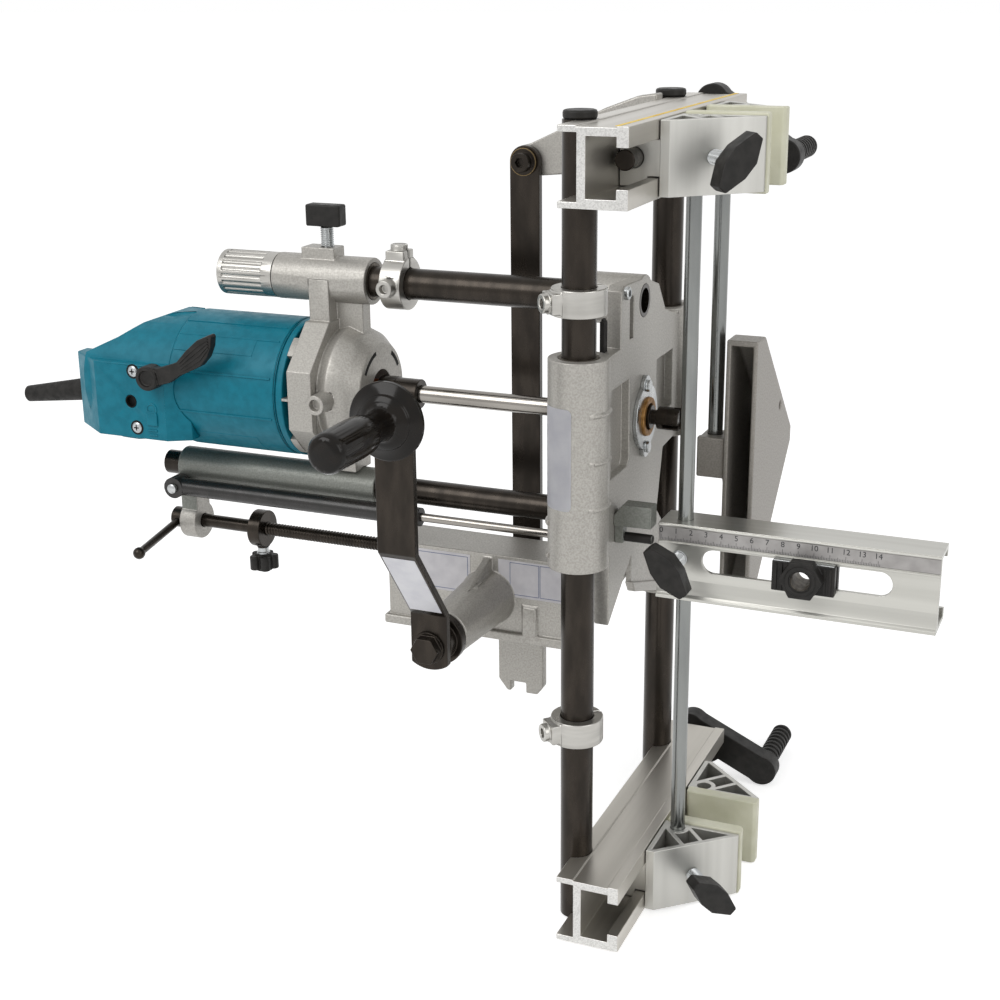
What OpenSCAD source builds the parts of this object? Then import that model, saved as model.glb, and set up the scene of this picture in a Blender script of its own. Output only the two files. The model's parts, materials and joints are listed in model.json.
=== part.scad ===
// Lock mortiser: a plunging motor on a carriage that a crank drives up and down two guide tubes,
// clamped to the edge of a door by two pairs of jaws. Millimetres.
// The door's edge is the plane X = 0, the door's middle is Y = 0, and Z = 0 lies midway between the rails.

/* [Frame] */
// Distance between the axes of the two guide tubes
tube_spacing = 177; // [165:1:190]
// Outer diameter of the guide tubes
tube_d = 21.5; // [20:0.5:22]
// Wall of the guide tubes
tube_wall = 2.5; // [1.5:0.5:4]
// Height from the middle of the lower rail to the middle of the upper rail
rail_spacing = 483; // [470:1:520]
// Length of each rail across the door
rail_length = 253; // [250:1:280]
// Height of the rail section
rail_h = 47; // [46:1:52]
// Depth of the rail section, from its back to the door
rail_d = 43; // [42:0.5:48]
// Thickness of the two lips that meet the door
rail_lip = 7.4; // [5:0.2:8]
// Gap between the two lips
rail_gap = 23; // [20:0.5:25]
// Thickness of the walls above and below the clamp channel
rail_wall = 6; // [4:0.5:6.5]
// Thickness of the web between the clamp channel and the tubes
rail_web = 5.5; // [4:0.5:6]
// Thickness of the walls above and below the tube recess
rail_flange = 4; // [3:0.5:5]
// Depth of the shallow step along the rail's top
rail_step = 0.8; // [0.4:0.1:1.5]
// Height of a tube cap above the rail
cap_h = 5.5; // [4:0.5:10]

/* [Carriage] */
// Height of the cutter's axis
cutter_z = 64; // [60:1:68]
// Height of the upper guide bar's axis
bar_z = 142; // [140:1:146]
// Height of the lower guide bar's axis
low_bar_z = -8.5; // [-12:0.5:-6]
// Outer diameter of the upper guide bar
bar_d = 21.5; // [20:0.5:22]
// Diameter of the lower guide bar
low_bar_d = 18; // [16:0.5:18.5]
// Outer diameter of the barrels that run on the guide tubes
barrel_d = 38.6; // [36:0.2:42]
// Height of the barrels' top ends
barrel_top = 122.5; // [118:0.5:126]
// Height of the front barrel's lower end
barrel_bottom = -13; // [-20:1:-5]
// Height of the rear barrel's lower end
rear_barrel_bottom = 30; // [10:1:40]
// Thickness of the carriage plate
plate_t = 10; // [8:0.5:12]
// Distance from the carriage plate's face to the door
plate_back = 30; // [29:0.5:33]
// Wall of the guide bushes
bush_wall = 2; // [1.5:0.5:3]
// Length of a guide bush
bush_length = 24; // [16:1:30]

/* [Crank] */
// Distance of the crank spindle behind the door's edge
spindle_back = 135.5; // [132:0.5:140]
// Height of the crank spindle
spindle_z = -73; // [-76:1:-70]
// Diameter of the crank spindle
spindle_d = 16; // [14:0.5:18]
// Throw of the inner lever, from spindle to pin
lever_throw = 77; // [70:1:80]
// Radius from the spindle to the crank grip
crank_radius = 166; // [150:1:175]
// Width of the crank arm
crank_width = 26; // [22:1:30]
// Thickness of the crank arm
crank_t = 6; // [5:0.5:7]
// Diameter of the crank grip's guard
guard_d = 49; // [40:1:55]
// Diameter of the crank grip
grip_d = 24; // [20:0.5:28]
// Length of the crank grip with its guard
grip_length = 84; // [70:1:95]

/* [Motor] */
// Diameter of the motor housing
motor_d = 100; // [94:1:102]
// Length of the motor housing
motor_length = 94; // [90:1:98]
// Diameter of the cutter shaft
shaft_d = 12.4; // [10:0.2:13]
// Diameter of the cutter head
head_d = 17; // [14:0.5:18]
// Outer diameter of the upper barrel
sleeve_d = 32.8; // [31.4:0.2:35]
// Outer diameter of the lower barrel
low_sleeve_d = 27; // [25:0.5:28]
// Diameter of the gas spring's cylinder
gas_d = 13.4; // [12:0.2:14]
// Diameter of the gas spring's rod
gas_rod_d = 6; // [5:0.5:7]
// Diameter of the depth screw
depth_d = 10; // [8:0.5:11]
// Bore of the cable boot
cable_bore_d = 8.4; // [6:0.2:9]

/* [Clamps] */
// Gap between the pads that take the door
door_gap = 34; // [32:1:40]
// Thickness of a pad
pad_t = 9; // [8:0.5:10]
// Length of a pad from the rail
pad_length = 52; // [48:1:56]
// Height of a jaw
jaw_h = 45; // [40:1:46]
// Wall of the hollow jaws
jaw_wall = 3.5; // [3:0.5:5]
// Diameter of the clamp screws
screw_d = 12.5; // [11:0.5:13]
// Diameter of the two rods
rod_d = 10; // [9:0.5:10.5]
// Distance of the rods in front of the rail's lips
rod_x = 11; // [10.5:0.5:12]
// Diameter of the clamp crank's grip
clamp_grip_d = 16; // [14:0.5:18]

/* [Gauge] */
// Length of the gauge rail
gauge_length = 180; // [175:1:195]
// Height of the gauge rail
gauge_h = 50.5; // [48:0.5:54]
// Depth of the gauge rail
gauge_depth = 27; // [25:0.5:28]
// Thickness of the gauge rail's walls
gauge_wall = 3; // [2:0.5:3.5]
// Length of the slot in the gauge rail
slot_length = 122; // [110:1:126]
// Height of the slot in the gauge rail
slot_h = 16; // [14:0.5:18]
// Bore of the drill bush
drill_bore_d = 12; // [10:0.5:13]

/* [Fits] */
// Radial gap of a part that turns or slides
run_gap = 0.06; // [0.04:0.01:0.09]
// Radial gap between parts that are fixed together
seat_gap = 0.03; // [0.02:0.01:0.06]
// Open gap between parts that pass each other
air_gap = 0.5; // [0.4:0.1:0.8]

/* [View] */
// Node to draw, or all

/* [Hidden] */
$fn = 64;

// Overshoot of a cut past the face it opens
cut = 1;
// Places of the tubes and the rail's inner faces
tube_y = tube_spacing / 2;
tube_r = tube_d / 2;
tube_x = -rail_d;
web_back = tube_x + tube_r + 1;
web_front = web_back + rail_web;
rail_z = rail_spacing / 2;
tube_half = rail_z + rail_h / 2;
// Places on the carriage
plate_x = -plate_back;
plate_rear = plate_x - plate_t;
barrel_r = barrel_d / 2;
rear_foot_bottom = barrel_bottom - 77;
rear_foot_top = rear_foot_bottom + 48;
bar_r = bar_d / 2;
low_bar_r = low_bar_d / 2;
lug_r = bar_r + 6.2;
lug_length = 38;
bush_r = tube_r + run_gap + bush_wall;
bar_right = plate_x;
bar_left = -311;
low_bar_left = -409;
// Spindle bush in the plate
sp_bush_r = 13;
sp_bush_out = 5;
sp_plate_t = 3;
sp_plate_r = 22;
sp_ear = 21;
// Crank housing and its boss
spindle_x = -spindle_back;
spindle_r = spindle_d / 2;
house_left = spindle_x - 78.5;
house_half = 20.5;
house_top = spindle_z + 32;
house_bottom = spindle_z - 31;
house_wall = 5;
house_foot = 3;
boss_r = spindle_r + 9;
boss_front = -94;
boss_rear = 33;
// Crank train along Y
lever_y = boss_rear + air_gap;
lever_t = 8;
lever_r = 18;
lever_foot = 20;
pin_r = 5;
eye_r = 11;
bar_link_y = 51;
bar_link_t = 6;
pivot_z = 222;
pin_z = spindle_z - lever_throw;
arm_y = -112;
arm_low = 6;
arm_bend = 43;
arm_bend_from = -50;
arm_bend_to = 6;
grip_z = spindle_z + crank_radius;
grip_pin_r = 5;
bolt_r = 4;
// Motor unit along X
motor_r = motor_d / 2;
motor_right = -278;
motor_left = motor_right - motor_length;
motor_wall = 4;
motor_z = cutter_z - 2;
flange_left = -273;
flange_right = -254;
flange_r = motor_r + 0.5;
shoulder_x = -246;
shoulder_r = motor_r - 4;
nose_x = -229;
nose_r = 33.5;
dome_front = -225;
switch_rear = -463;
cover_y = -54;
switch_x = -379;
switch_z = 74;
boot_z = 45;
boot_length = 73;
boot_tail = 22;
boot_droop = 9;
shaft_r = shaft_d / 2;
shaft_left = -238;
shaft_right = -25;
head_left = -19;
head_right = -4;
nut_left = -231;
nut_right = -194;
nut_r = 12;
arm_shaft_r = 8;
bearing_r = 16;
bearing_t = 10;
front_bearing_x = -249;
rear_bearing_x = motor_left - 12;
core_left = motor_left + 14;
core_right = core_left + 46;
core_r = 27;
field_in = core_r + 0.6;
field_out = motor_r - motor_wall - 4;
fan_x = core_right + 5;
// Upper barrel on the flange
sleeve_r = sleeve_d / 2;
sleeve_left = -302;
sleeve_right = -228;
spigot_length = 14;
spigot_r = 13.4;
fluted_left = -347;
collar_left = -222;
collar_length = 28;
knob_x = -264;
pad_top = 164.5;
// Lower barrel, gas spring and depth screw
low_sleeve_r = low_sleeve_d / 2;
low_sleeve_left = -394;
low_sleeve_right = -228;
low_web_left = flange_left;
low_web_right = -242;
gas_y = -(low_sleeve_r + gas_d / 2 + 1.5);
gas_z = -19.7;
gas_r = gas_d / 2;
gas_left = -393;
gas_right = -186;
gas_inside = 75;
gas_wall = 1.6;
gas_rod_r = gas_rod_d / 2;
lug_left = -396;
lug_right = -382;
depth_z = -53;
depth_r = depth_d / 2;
depth_right = house_left + 4;
depth_nut_left = -336;
depth_nut_right = -326;
depth_nut_r = 14;
depth_knob_x = (depth_nut_left + depth_nut_right) / 2;
// Jaws in plan, for the front pair
pad_face = door_gap / 2;
pad_back_y = pad_face + pad_t;
jaw_lip = air_gap;
jaw_left = 6.5;
jaw_right = pad_length + 1;
jaw_far = pad_back_y + 45;
jaw_near = pad_back_y + 3;
jaw_angle = atan2(jaw_far - jaw_near, jaw_right - jaw_left);
rod_r = rod_d / 2;
rod_y = pad_back_y + 1.5 + rod_r;
stud_r = 4;
stud_reach = (rod_y - jaw_far) * -cos(jaw_angle) + (rod_x - jaw_left) * -sin(jaw_angle);
screw_r = screw_d / 2;
screw_x = (web_front - rail_lip) / 2;
screw_front = -85;
screw_rear = rail_length / 2 + 8;
tongue_y = pad_back_y + 8;
tongue_length = 34;
crank_y = screw_rear;
crank_arm_t = 15;
clamp_arm_r = 12;
clamp_arm_length = 46;
// Gauge rail and backing plate
gauge_left = -3.5;
gauge_top = 7;
gauge_front = rod_y + 12.5;
gauge_rear = gauge_front - gauge_depth;
slot_left = gauge_left + 29.5;
slot_z = -16;
slider_x = 93.3;
slider_z = -17;
slider_half = 20;
ruler_h = 9.7;
gauge_knob_z = -16;
back_left = 21;
back_right = 42;
back_wall = 3.2;
back_y = pad_face;
back_rod_z = 46;

// Cylinder along X from one place to another
module along_x(x0, x1, r) {
    translate([x0, 0, 0]) rotate([0, 90, 0]) cylinder(h = x1 - x0, r = r);
}

// Cylinder along Y from one place to another
module along_y(y0, y1, r) {
    translate([0, y0, 0]) rotate([-90, 0, 0]) cylinder(h = y1 - y0, r = r);
}

// Cylinder along Z from one place to another
module along_z(z0, z1, r) {
    translate([0, 0, z0]) cylinder(h = z1 - z0, r = r);
}

// Box between two corners
module span(a, b) {
    translate(a) cube([b[0] - a[0], b[1] - a[1], b[2] - a[2]]);
}

// Flat outline in X and Z, given its faces in Y
module plate_y(y0, y1) {
    translate([0, y1, 0]) rotate([90, 0, 0]) linear_extrude(height = y1 - y0) children();
}

// Flat outline in Y and Z, given its faces in X
module plate_x_dir(x0, x1) {
    translate([x0, 0, 0]) rotate([90, 0, 90]) linear_extrude(height = x1 - x0) children();
}

// Outline with two round ends
module stadium(p, q, r) {
    d = q - p;
    translate(p) circle(r = r);
    translate(q) circle(r = r);
    translate(p) rotate(atan2(d[1], d[0])) translate([0, -r]) square([norm(d), 2 * r]);
}

// Outline with two round ends and a slimmer bar between them
module paddle(p, q, r, half) {
    d = q - p;
    translate(p) circle(r = r);
    translate(q) circle(r = r);
    translate(p) rotate(atan2(d[1], d[0])) translate([0, -half]) square([norm(d), 2 * half]);
}

// Hexagon by its width across flats
module hexagon(flats) {
    circle(r = flats / (2 * cos(30)), $fn = 6);
}

// Rail section: a tube recess at the back and a clamp channel at the front
module rail_section() {
    difference() {
        translate([-rail_d, -rail_h / 2]) square([rail_d, rail_h]);
        translate([-rail_d - cut, -rail_h / 2 + rail_flange])
            square([web_back + rail_d + cut, rail_h - 2 * rail_flange]);
        translate([web_front, -rail_h / 2 + rail_wall])
            square([-rail_lip - web_front, rail_h - 2 * rail_wall]);
        translate([-rail_lip - cut, -rail_gap / 2]) square([rail_lip + 2 * cut, rail_gap]);
        translate([web_back, rail_h / 2 - rail_step]) square([-rail_lip - web_back, rail_step + cut]);
    }
}

module rail(z) {
    difference() {
        translate([0, 0, z]) plate_y(-rail_length / 2, rail_length / 2) rail_section();
        for (s = [-1, 1])
            translate([tube_x, s * tube_y, z]) along_z(-rail_h, rail_h, tube_r + seat_gap);
    }
}

module upper_rail() color("silver") rail(rail_z);

module lower_rail() color("silver") rail(-rail_z);

// Two guide tubes that tie the rails
module guide_tubes() color("dimgray") {
    for (s = [-1, 1]) translate([tube_x, s * tube_y, 0]) difference() {
        along_z(-tube_half, tube_half, tube_r);
        along_z(-tube_half - cut, tube_half + cut, tube_r - tube_wall);
    }
}

// Caps that plug the tube ends
module tube_caps() color("black") {
    for (s = [-1, 1]) translate([tube_x, s * tube_y, 0]) {
        along_z(tube_half - 12, tube_half + cap_h, tube_r - tube_wall - seat_gap);
        along_z(tube_half + seat_gap, tube_half + cap_h, tube_r - 0.4);
    }
}

// Casting behind the upper rail that carries the connecting bar
module drive_bracket() color("lightgray") {
    inner = rail_h / 2 - rail_flange - seat_gap;
    difference() {
        union() {
            plate_y(bar_link_y + bar_link_t + air_gap, bar_link_y + bar_link_t + 14) {
                polygon([[-rail_d - seat_gap, rail_z - inner], [-rail_d - seat_gap, tube_half + 4],
                    [-rail_d - 14, tube_half + 2], [-rail_d - 36, tube_half - 6], [spindle_x, pivot_z + eye_r],
                    [spindle_x, pivot_z - eye_r], [-rail_d - 19, rail_z - inner - 4]]);
                translate([spindle_x, pivot_z]) circle(r = eye_r);
                translate([-rail_d - cut, rail_z - inner])
                    square([web_back - seat_gap + rail_d + cut, 2 * inner]);
            }
        }
        translate([spindle_x, 0, pivot_z]) along_y(bar_link_y, bar_link_y + 30, bolt_r + seat_gap);
    }
}

// Pivot bolt with a washer, through the connecting bar into the bracket
module pivot_bolt() color("black") {
    translate([spindle_x, 0, pivot_z]) {
        along_y(bar_link_y - 2 - air_gap, bar_link_y + bar_link_t + 14, bolt_r);
        along_y(bar_link_y - 2 - air_gap, bar_link_y - air_gap, 9);
        difference() {
            along_y(bar_link_y - 9, bar_link_y - 2 - air_gap, 6.6);
            translate([0, bar_link_y - 9 + 4, 0]) rotate([90, 0, 0])
                linear_extrude(height = 4 + cut) hexagon(6);
        }
    }
}

// Flat bar from the bracket down to the crank's inner lever
module connecting_bar() color("dimgray") difference() {
    plate_y(bar_link_y, bar_link_y + bar_link_t)
        stadium([spindle_x, pivot_z], [spindle_x, pin_z], eye_r);
    translate([spindle_x, 0, pivot_z]) along_y(bar_link_y - cut, bar_link_y + bar_link_t + cut, bolt_r + run_gap);
    translate([spindle_x, 0, pin_z]) along_y(bar_link_y - cut, bar_link_y + bar_link_t + cut, pin_r + run_gap);
}

// Stop collar clamped on the front tube, split at the back
module stop_collar(z0, z1) {
    ring = tube_r + 6.5;
    zm = (z0 + z1) / 2;
    translate([tube_x, -tube_y, 0]) rotate(45) difference() {
        union() {
            along_z(z0, z1, ring);
            span([-ring - 4, -8, z0 + 2], [-tube_r - 2, 8, z1 - 2]);
            translate([0, 0, zm]) along_x(-ring - 8, -ring - 3, 6);
        }
        along_z(z0 - cut, z1 + cut, tube_r + run_gap);
        span([tube_r - 2, -0.8, z0 - cut], [ring + 2, 0.8, z1 + cut]);
        translate([0, 0, zm]) along_x(-ring - 9, -ring - 4, 3);
    }
}

module upper_stop_collar() color("silver") stop_collar(149, 166);

module lower_stop_collar() color("silver") stop_collar(-135, -118);

// Carriage: two barrels on the tubes and a plate that carries the guide bars and the spindle bush
module carriage_casting() color("lightgray") {
    outline = [[-tube_y + 14, barrel_bottom], [-tube_y + 14, barrel_top - 4], [-47, barrel_top - 3],
        [-47, bar_z + 14], [-42, bar_z + 17], [0, bar_z + 15], [30, bar_z + 6], [46, barrel_top + 5],
        [tube_y - 14, barrel_top - 4],
        [tube_y - 14, rear_barrel_bottom + 2], [46, rear_barrel_bottom], [34, -14],
        [-14, -24], [-tube_y + 23, -62], [-tube_y + 23, barrel_bottom]];
    pocket = 6;
    difference() {
        union() {
            plate_x_dir(plate_rear, plate_x) polygon(outline);
            translate([tube_x, -tube_y, 0]) along_z(barrel_bottom, barrel_top, barrel_r);
            translate([tube_x, tube_y, 0]) along_z(rear_barrel_bottom, barrel_top, barrel_r);
            translate([tube_x, tube_y, 0]) along_z(rear_foot_bottom, rear_foot_top, barrel_r);
            plate_x_dir(plate_x - 6, plate_x - 2) polygon([[36, -10], [-14, -22], [-14, -52], [-10, -58],
                [tube_y - 14, rear_foot_bottom + 3], [tube_y - 14, rear_foot_top - 3]]);
            plate_x_dir(plate_x - 6, plate_x) polygon([[-16, -49], [-10, -58],
                [tube_y - 14, rear_foot_bottom + 3], [tube_y - 14, rear_foot_bottom + 11]]);
            translate([0, 0, bar_z]) along_x(plate_x - lug_length, plate_x, lug_r);
            span([plate_x - lug_length + 6, -lug_r - 9, bar_z - 8], [plate_x - 8, -bar_r - 2, bar_z + 8]);
            translate([0, 0, cutter_z]) along_x(plate_rear - 14, plate_x, sp_bush_r + 7);
            translate([0, 0, low_bar_z]) along_x(plate_rear - 22, plate_rear + 1, low_bar_r + 5);
            translate([0, gas_y, gas_z]) along_x(plate_rear - 8, plate_x - 2, gas_rod_r + 4);
            span([plate_rear - 22, -14, house_top + seat_gap], [plate_rear + 1, 14, low_bar_z]);
        }
        for (s = [-1, 1])
            translate([tube_x, s * tube_y, 0]) along_z(-200, 200, bush_r + seat_gap);
        translate([0, 0, bar_z]) along_x(-200, 0, bar_r + seat_gap);
        span([plate_x - lug_length - cut, -lug_r - 10, bar_z - 0.8], [plate_x - 8, -bar_r + 2, bar_z + 0.8]);
        translate([0, 0, cutter_z]) along_x(-200, 0, sp_bush_r + seat_gap);
        translate([0, 0, low_bar_z]) along_x(-200, plate_x - 3, low_bar_r + seat_gap);
        translate([0, gas_y, gas_z]) along_x(-200, plate_x - 4, gas_rod_r + seat_gap);
        plate_x_dir(plate_x - pocket, plate_x + cut) {
            polygon([[-64, 38], [-64, 96], [-29, 96], [-28, 42], [-32, 38]]);
            polygon([[29, 56], [28, 96], [64, 96], [64, 56]]);
            polygon([[-30, 122], [-22, 122], [-22, bar_z + 6], [-30, bar_z + 10]]);
        }
    }
}

// Hollow casting, open below, that carries the crank spindle
module crank_housing() color("lightgray") {
    right = plate_rear - 4;
    difference() {
        union() {
            plate_y(-house_half, house_half) polygon([[house_left, house_bottom], [house_left, house_top],
                [right, house_top], [right, house_top - 14], [right - 30, house_bottom]]);
            span([house_left - house_foot, -house_half - house_foot, house_bottom],
                [right - 34, house_half + house_foot, house_bottom + 7]);
            translate([spindle_x, boss_front, spindle_z]) rotate([-90, 0, 0])
                cylinder(h = -house_half - boss_front + cut, r1 = boss_r - 0.5, r2 = boss_r + 3);
            translate([spindle_x, 0, spindle_z]) along_y(0, boss_rear, boss_r);
            span([right - 65, -house_half - house_foot, house_bottom + 6], [right - 54, -house_half + 1, spindle_z - 3]);
            translate([spindle_x, 0, 0]) rotate([90, 0, 90]) translate([0, 0, -3]) linear_extrude(height = 6)
                polygon([[-house_half + 1, house_top - 2], [-62, spindle_z + boss_r - 1],
                    [-62, spindle_z], [-house_half + 1, spindle_z]]);
        }
        difference() {
            span([house_left + house_wall, -house_half + house_wall, house_bottom - cut],
                [right - 36, house_half - house_wall, house_top - house_wall]);
            translate([spindle_x, 0, spindle_z]) along_y(-house_half, -house_half + house_wall + 6, boss_r);
        }
        translate([spindle_x, 0, spindle_z]) along_y(-200, 200, spindle_r + run_gap);
        translate([0, 0, depth_z]) along_x(house_left - cut, house_left + house_wall + cut, depth_r + air_gap);
    }
}

// Plain bushes pressed into the barrels
module guide_bushes() color("goldenrod") {
    for (p = [[-tube_y, barrel_bottom], [-tube_y, barrel_top - bush_length],
            [tube_y, rear_foot_bottom], [tube_y, barrel_top - bush_length]])
        translate([tube_x, p[0], 0]) difference() {
            along_z(p[1], p[1] + bush_length, bush_r);
            along_z(p[1] - cut, p[1] + bush_length + cut, tube_r + run_gap);
        }
}

// Oval plate over the spindle bush, with two screw heads
module spindle_plate() color("silver") {
    difference() {
        union() {
            plate_x_dir(plate_x + seat_gap, plate_x + sp_plate_t) {
                translate([0, cutter_z]) circle(r = sp_plate_r);
                stadium([0, cutter_z - sp_ear], [0, cutter_z + sp_ear], 7);
            }
            for (s = [-1, 1])
                translate([0, 0, cutter_z + s * sp_ear])
                    along_x(plate_x + sp_plate_t - cut, plate_x + sp_plate_t + 2, 4);
        }
        translate([0, 0, cutter_z]) along_x(-200, 0, sp_bush_r + seat_gap);
    }
}

// Bush that guides the cutter shaft
module spindle_bush() color("peru") difference() {
    translate([0, 0, cutter_z]) along_x(plate_rear - 12, plate_x + sp_bush_out, sp_bush_r);
    translate([0, 0, cutter_z]) along_x(-200, 0, head_d / 2 + air_gap);
}

// Tube that guides the motor unit above
module upper_guide_bar() color("dimgray") difference() {
    translate([0, 0, bar_z]) along_x(bar_left, bar_right, bar_r);
    translate([0, 0, bar_z]) along_x(bar_left - cut, bar_right + cut, bar_r - 2.5);
}

// Bar that guides the motor unit below
module lower_guide_bar() color("dimgray")
    translate([0, 0, low_bar_z]) along_x(low_bar_left, plate_x - 3, low_bar_r);

// Rod of the gas spring, fixed in the carriage
module gas_spring_rod() color("silver") translate([0, gas_y, gas_z]) {
    along_x(gas_right - gas_inside, plate_x - 4, gas_rod_r);
    along_x(gas_right - gas_inside, gas_right - gas_inside + 8, gas_r - gas_wall - air_gap);
}

// Index bracket beside the gauge, with its black pin
module index_bracket() color("gray") {
    y0 = -58;
    y1 = -46;
    union() {
        plate_y(y0, y1) polygon([[plate_x + seat_gap, 5], [plate_x + seat_gap, 12], [plate_x + 6, 20], [-4.5, 20],
            [-4.5, 5.5]]);
        span([plate_x + seat_gap, y0 + 2, -7], [plate_x + 6, y1 - 2, 6]);
        translate([0, (y0 + y1) / 2, -3.2]) along_x(plate_x + 5, -5, 3);
    }
}

// Crank spindle with its black shoulder
module crank_spindle() color("dimgray") translate([spindle_x, 0, spindle_z]) difference() {
    union() {
        along_y(arm_y, lever_y + lever_t, spindle_r);
        along_y(arm_y, boss_front - air_gap, spindle_r + 5.5);
        along_y(boss_front - 10, boss_front - 3, boss_r + 0.5);
    }
    along_y(arm_y - cut, arm_y + 20, bolt_r + seat_gap);
}

// Lever behind the housing, with the pin that meets the connecting bar
module crank_lever() color("lightgray") translate([spindle_x, 0, 0]) {
    pin_end = bar_link_y - air_gap;
    difference() {
        plate_y(lever_y, lever_y + lever_t) difference() {
            union() {
                translate([0, spindle_z]) circle(r = lever_r);
                polygon([[-lever_r + 2, spindle_z], [-lever_r + 2, pin_z - lever_foot + 9],
                    [-lever_r + 9, pin_z - lever_foot], [lever_r - 3, pin_z - lever_foot],
                    [lever_r + 2, pin_z - lever_foot + 7], [lever_r + 2, spindle_z]]);
            }
            translate([-6, pin_z - lever_foot - cut]) square([12, 8 + cut]);
        }
        translate([0, 0, spindle_z]) along_y(lever_y - cut, lever_y + lever_t + cut, spindle_r + seat_gap);
    }
    translate([0, 0, pin_z]) along_y(lever_y + lever_t - cut, pin_end, pin_r);
}

// Cranked flat arm with the pin for the grip
module crank_arm() color("black") translate([spindle_x, 0, 0]) {
    near = arm_y - crank_t;
    difference() {
        intersection() {
            plate_y(near - arm_bend - cut, arm_y + cut)
                union() {
                    translate([0, grip_z]) circle(r = crank_width / 2);
                    translate([-crank_width / 2, spindle_z]) square([crank_width, crank_radius]);
                    intersection() {
                        translate([-crank_width / 2, spindle_z - 40]) square([crank_width, 41]);
                        translate([0, spindle_z + 6]) circle(r = crank_width * 0.85);
                    }
                }
            plate_x_dir(-crank_width, crank_width) polygon([[arm_y - seat_gap, spindle_z - 60],
                [arm_y - seat_gap, arm_bend_from], [arm_y - arm_bend, arm_bend_to],
                [arm_y - arm_bend, grip_z + 60], [near - arm_bend, grip_z + 60],
                [near - arm_bend, arm_bend_to], [near, arm_bend_from], [near, spindle_z - 60]]);
        }
        translate([0, 0, spindle_z]) along_y(near - cut, arm_y + cut, bolt_r + seat_gap);
    }
    translate([0, 0, grip_z]) along_y(near - arm_bend - grip_length + 6, near - arm_bend + cut, grip_pin_r);
}

// Bolt and washer that hold the arm on the spindle
module crank_bolt() color("black") translate([spindle_x, 0, spindle_z]) {
    near = arm_y - crank_t;
    along_y(near - 2, arm_y + 18, bolt_r);
    along_y(near - 2, near - seat_gap, 11);
    translate([0, near - 2 + 0.5, 0]) rotate([90, 0, 0]) linear_extrude(height = 7) hexagon(17);
}

// Turning grip with its guard
module crank_grip() color("black") translate([spindle_x, 0, grip_z]) {
    y0 = arm_y - crank_t - arm_bend - air_gap;
    difference() {
        rotate([90, 0, 0]) translate([0, 0, -y0]) rotate_extrude() polygon([[0, 0], [9, 0], [9, 2],
            [guard_d / 2 - 3, 3], [guard_d / 2, 5], [guard_d / 2, 7.5], [guard_d / 2 - 1, 8.5], [guard_d / 2 - 7, 9],
            [guard_d / 2 - 8, 11.5], [grip_d / 2 + 1, 12], [grip_d / 2 - 2, 14], [grip_d / 2 - 3, 20],
            [grip_d / 2 - 2.5, 30], [grip_d / 2, 38], [grip_d / 2 + 0.5, 50], [grip_d / 2, grip_length - 4],
            [grip_d / 2 - 1.5, grip_length - 1], [grip_d / 2 - 4, grip_length], [0, grip_length]]);
        along_y(y0 - grip_length + 5, y0 + cut, grip_pin_r + run_gap);
    }
}

// Motor flange casting: an eight-sided ring, a dome with the nose, and a rib up to the upper barrel
module motor_flange() color("lightgray") {
    difference() {
        union() {
            translate([0, 0, cutter_z]) plate_x_dir(flange_left, flange_right)
                rotate(22.5) circle(r = flange_r / cos(22.5), $fn = 8);
            translate([0, 0, cutter_z]) rotate([0, 90, 0]) rotate_extrude() polygon([[0, flange_left],
                [shoulder_r - 2, flange_left], [shoulder_r - 2, flange_right + 2], [shoulder_r, shoulder_x],
                [nose_r + 8, shoulder_x + 12], [nose_r + 2.5, dome_front - 3], [nose_r, dome_front], [0, dome_front]]);
            translate([0, 0, bar_z]) along_x(sleeve_left, sleeve_right, sleeve_r);
            translate([0, 0, bar_z]) along_x(sleeve_left - spigot_length, sleeve_left + cut, spigot_r);
            span([flange_left + 1.5, -sleeve_r - 0.8, cutter_z + 36], [flange_right - 1.5, sleeve_r + 0.8, bar_z + 2]);
            span([flange_right - 4, -6, cutter_z + 20], [sleeve_right - 7, 6, bar_z - 6]);
            span([-281, -8, bar_z], [-255, 8, pad_top]);
            translate([flange_right + 7, 0, cutter_z + 1]) along_y(-59, -30, 7);
            span([low_web_left, -12, low_bar_z + low_sleeve_r - 1], [low_web_right, 12, cutter_z - 30]);
        }
        translate([0, 0, cutter_z]) rotate([0, 90, 0]) rotate_extrude() polygon([[0, flange_left - cut],
            [motor_r - 7, flange_left - cut], [motor_r - 7, flange_left + 8], [bearing_r + 7, flange_left + 18],
            [bearing_r + seat_gap, front_bearing_x], [bearing_r + seat_gap, front_bearing_x + bearing_t],
            [bearing_r - 3, front_bearing_x + bearing_t + 0.5], [nut_r + 3, front_bearing_x + 18],
            [nut_r + 3, dome_front + cut], [0, dome_front + cut]]);
        translate([0, 0, bar_z]) along_x(-400, 0, bar_r + bush_wall + run_gap + seat_gap);
        translate([0, 0, low_bar_z]) along_x(-400, 0, low_sleeve_r + seat_gap);
        translate([knob_x, 0, 0]) along_z(bar_z, pad_top + cut, stud_r + run_gap);
        translate([flange_right + 7, 0, cutter_z + 1]) along_y(-60, -54, 4);
    }
}

// Lower barrel with the lug that carries the depth screw
module lower_barrel() color("gray") {
    difference() {
        union() {
            translate([0, 0, low_bar_z]) along_x(low_sleeve_left, low_sleeve_right, low_sleeve_r);
            span([lug_left, -9, depth_z + 4], [lug_right, 9, low_bar_z]);
            translate([0, 0, depth_z]) along_x(lug_left, lug_right, depth_r + 9);
            translate([gas_left + 4, 0, gas_z]) along_y(gas_y - gas_r - 2, -4, 3.5);
        }
        translate([0, 0, low_bar_z]) along_x(-500, 0, low_bar_r + bush_wall + seat_gap);
        translate([0, 0, depth_z]) along_x(-500, 0, depth_r + run_gap);
    }
}

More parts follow.
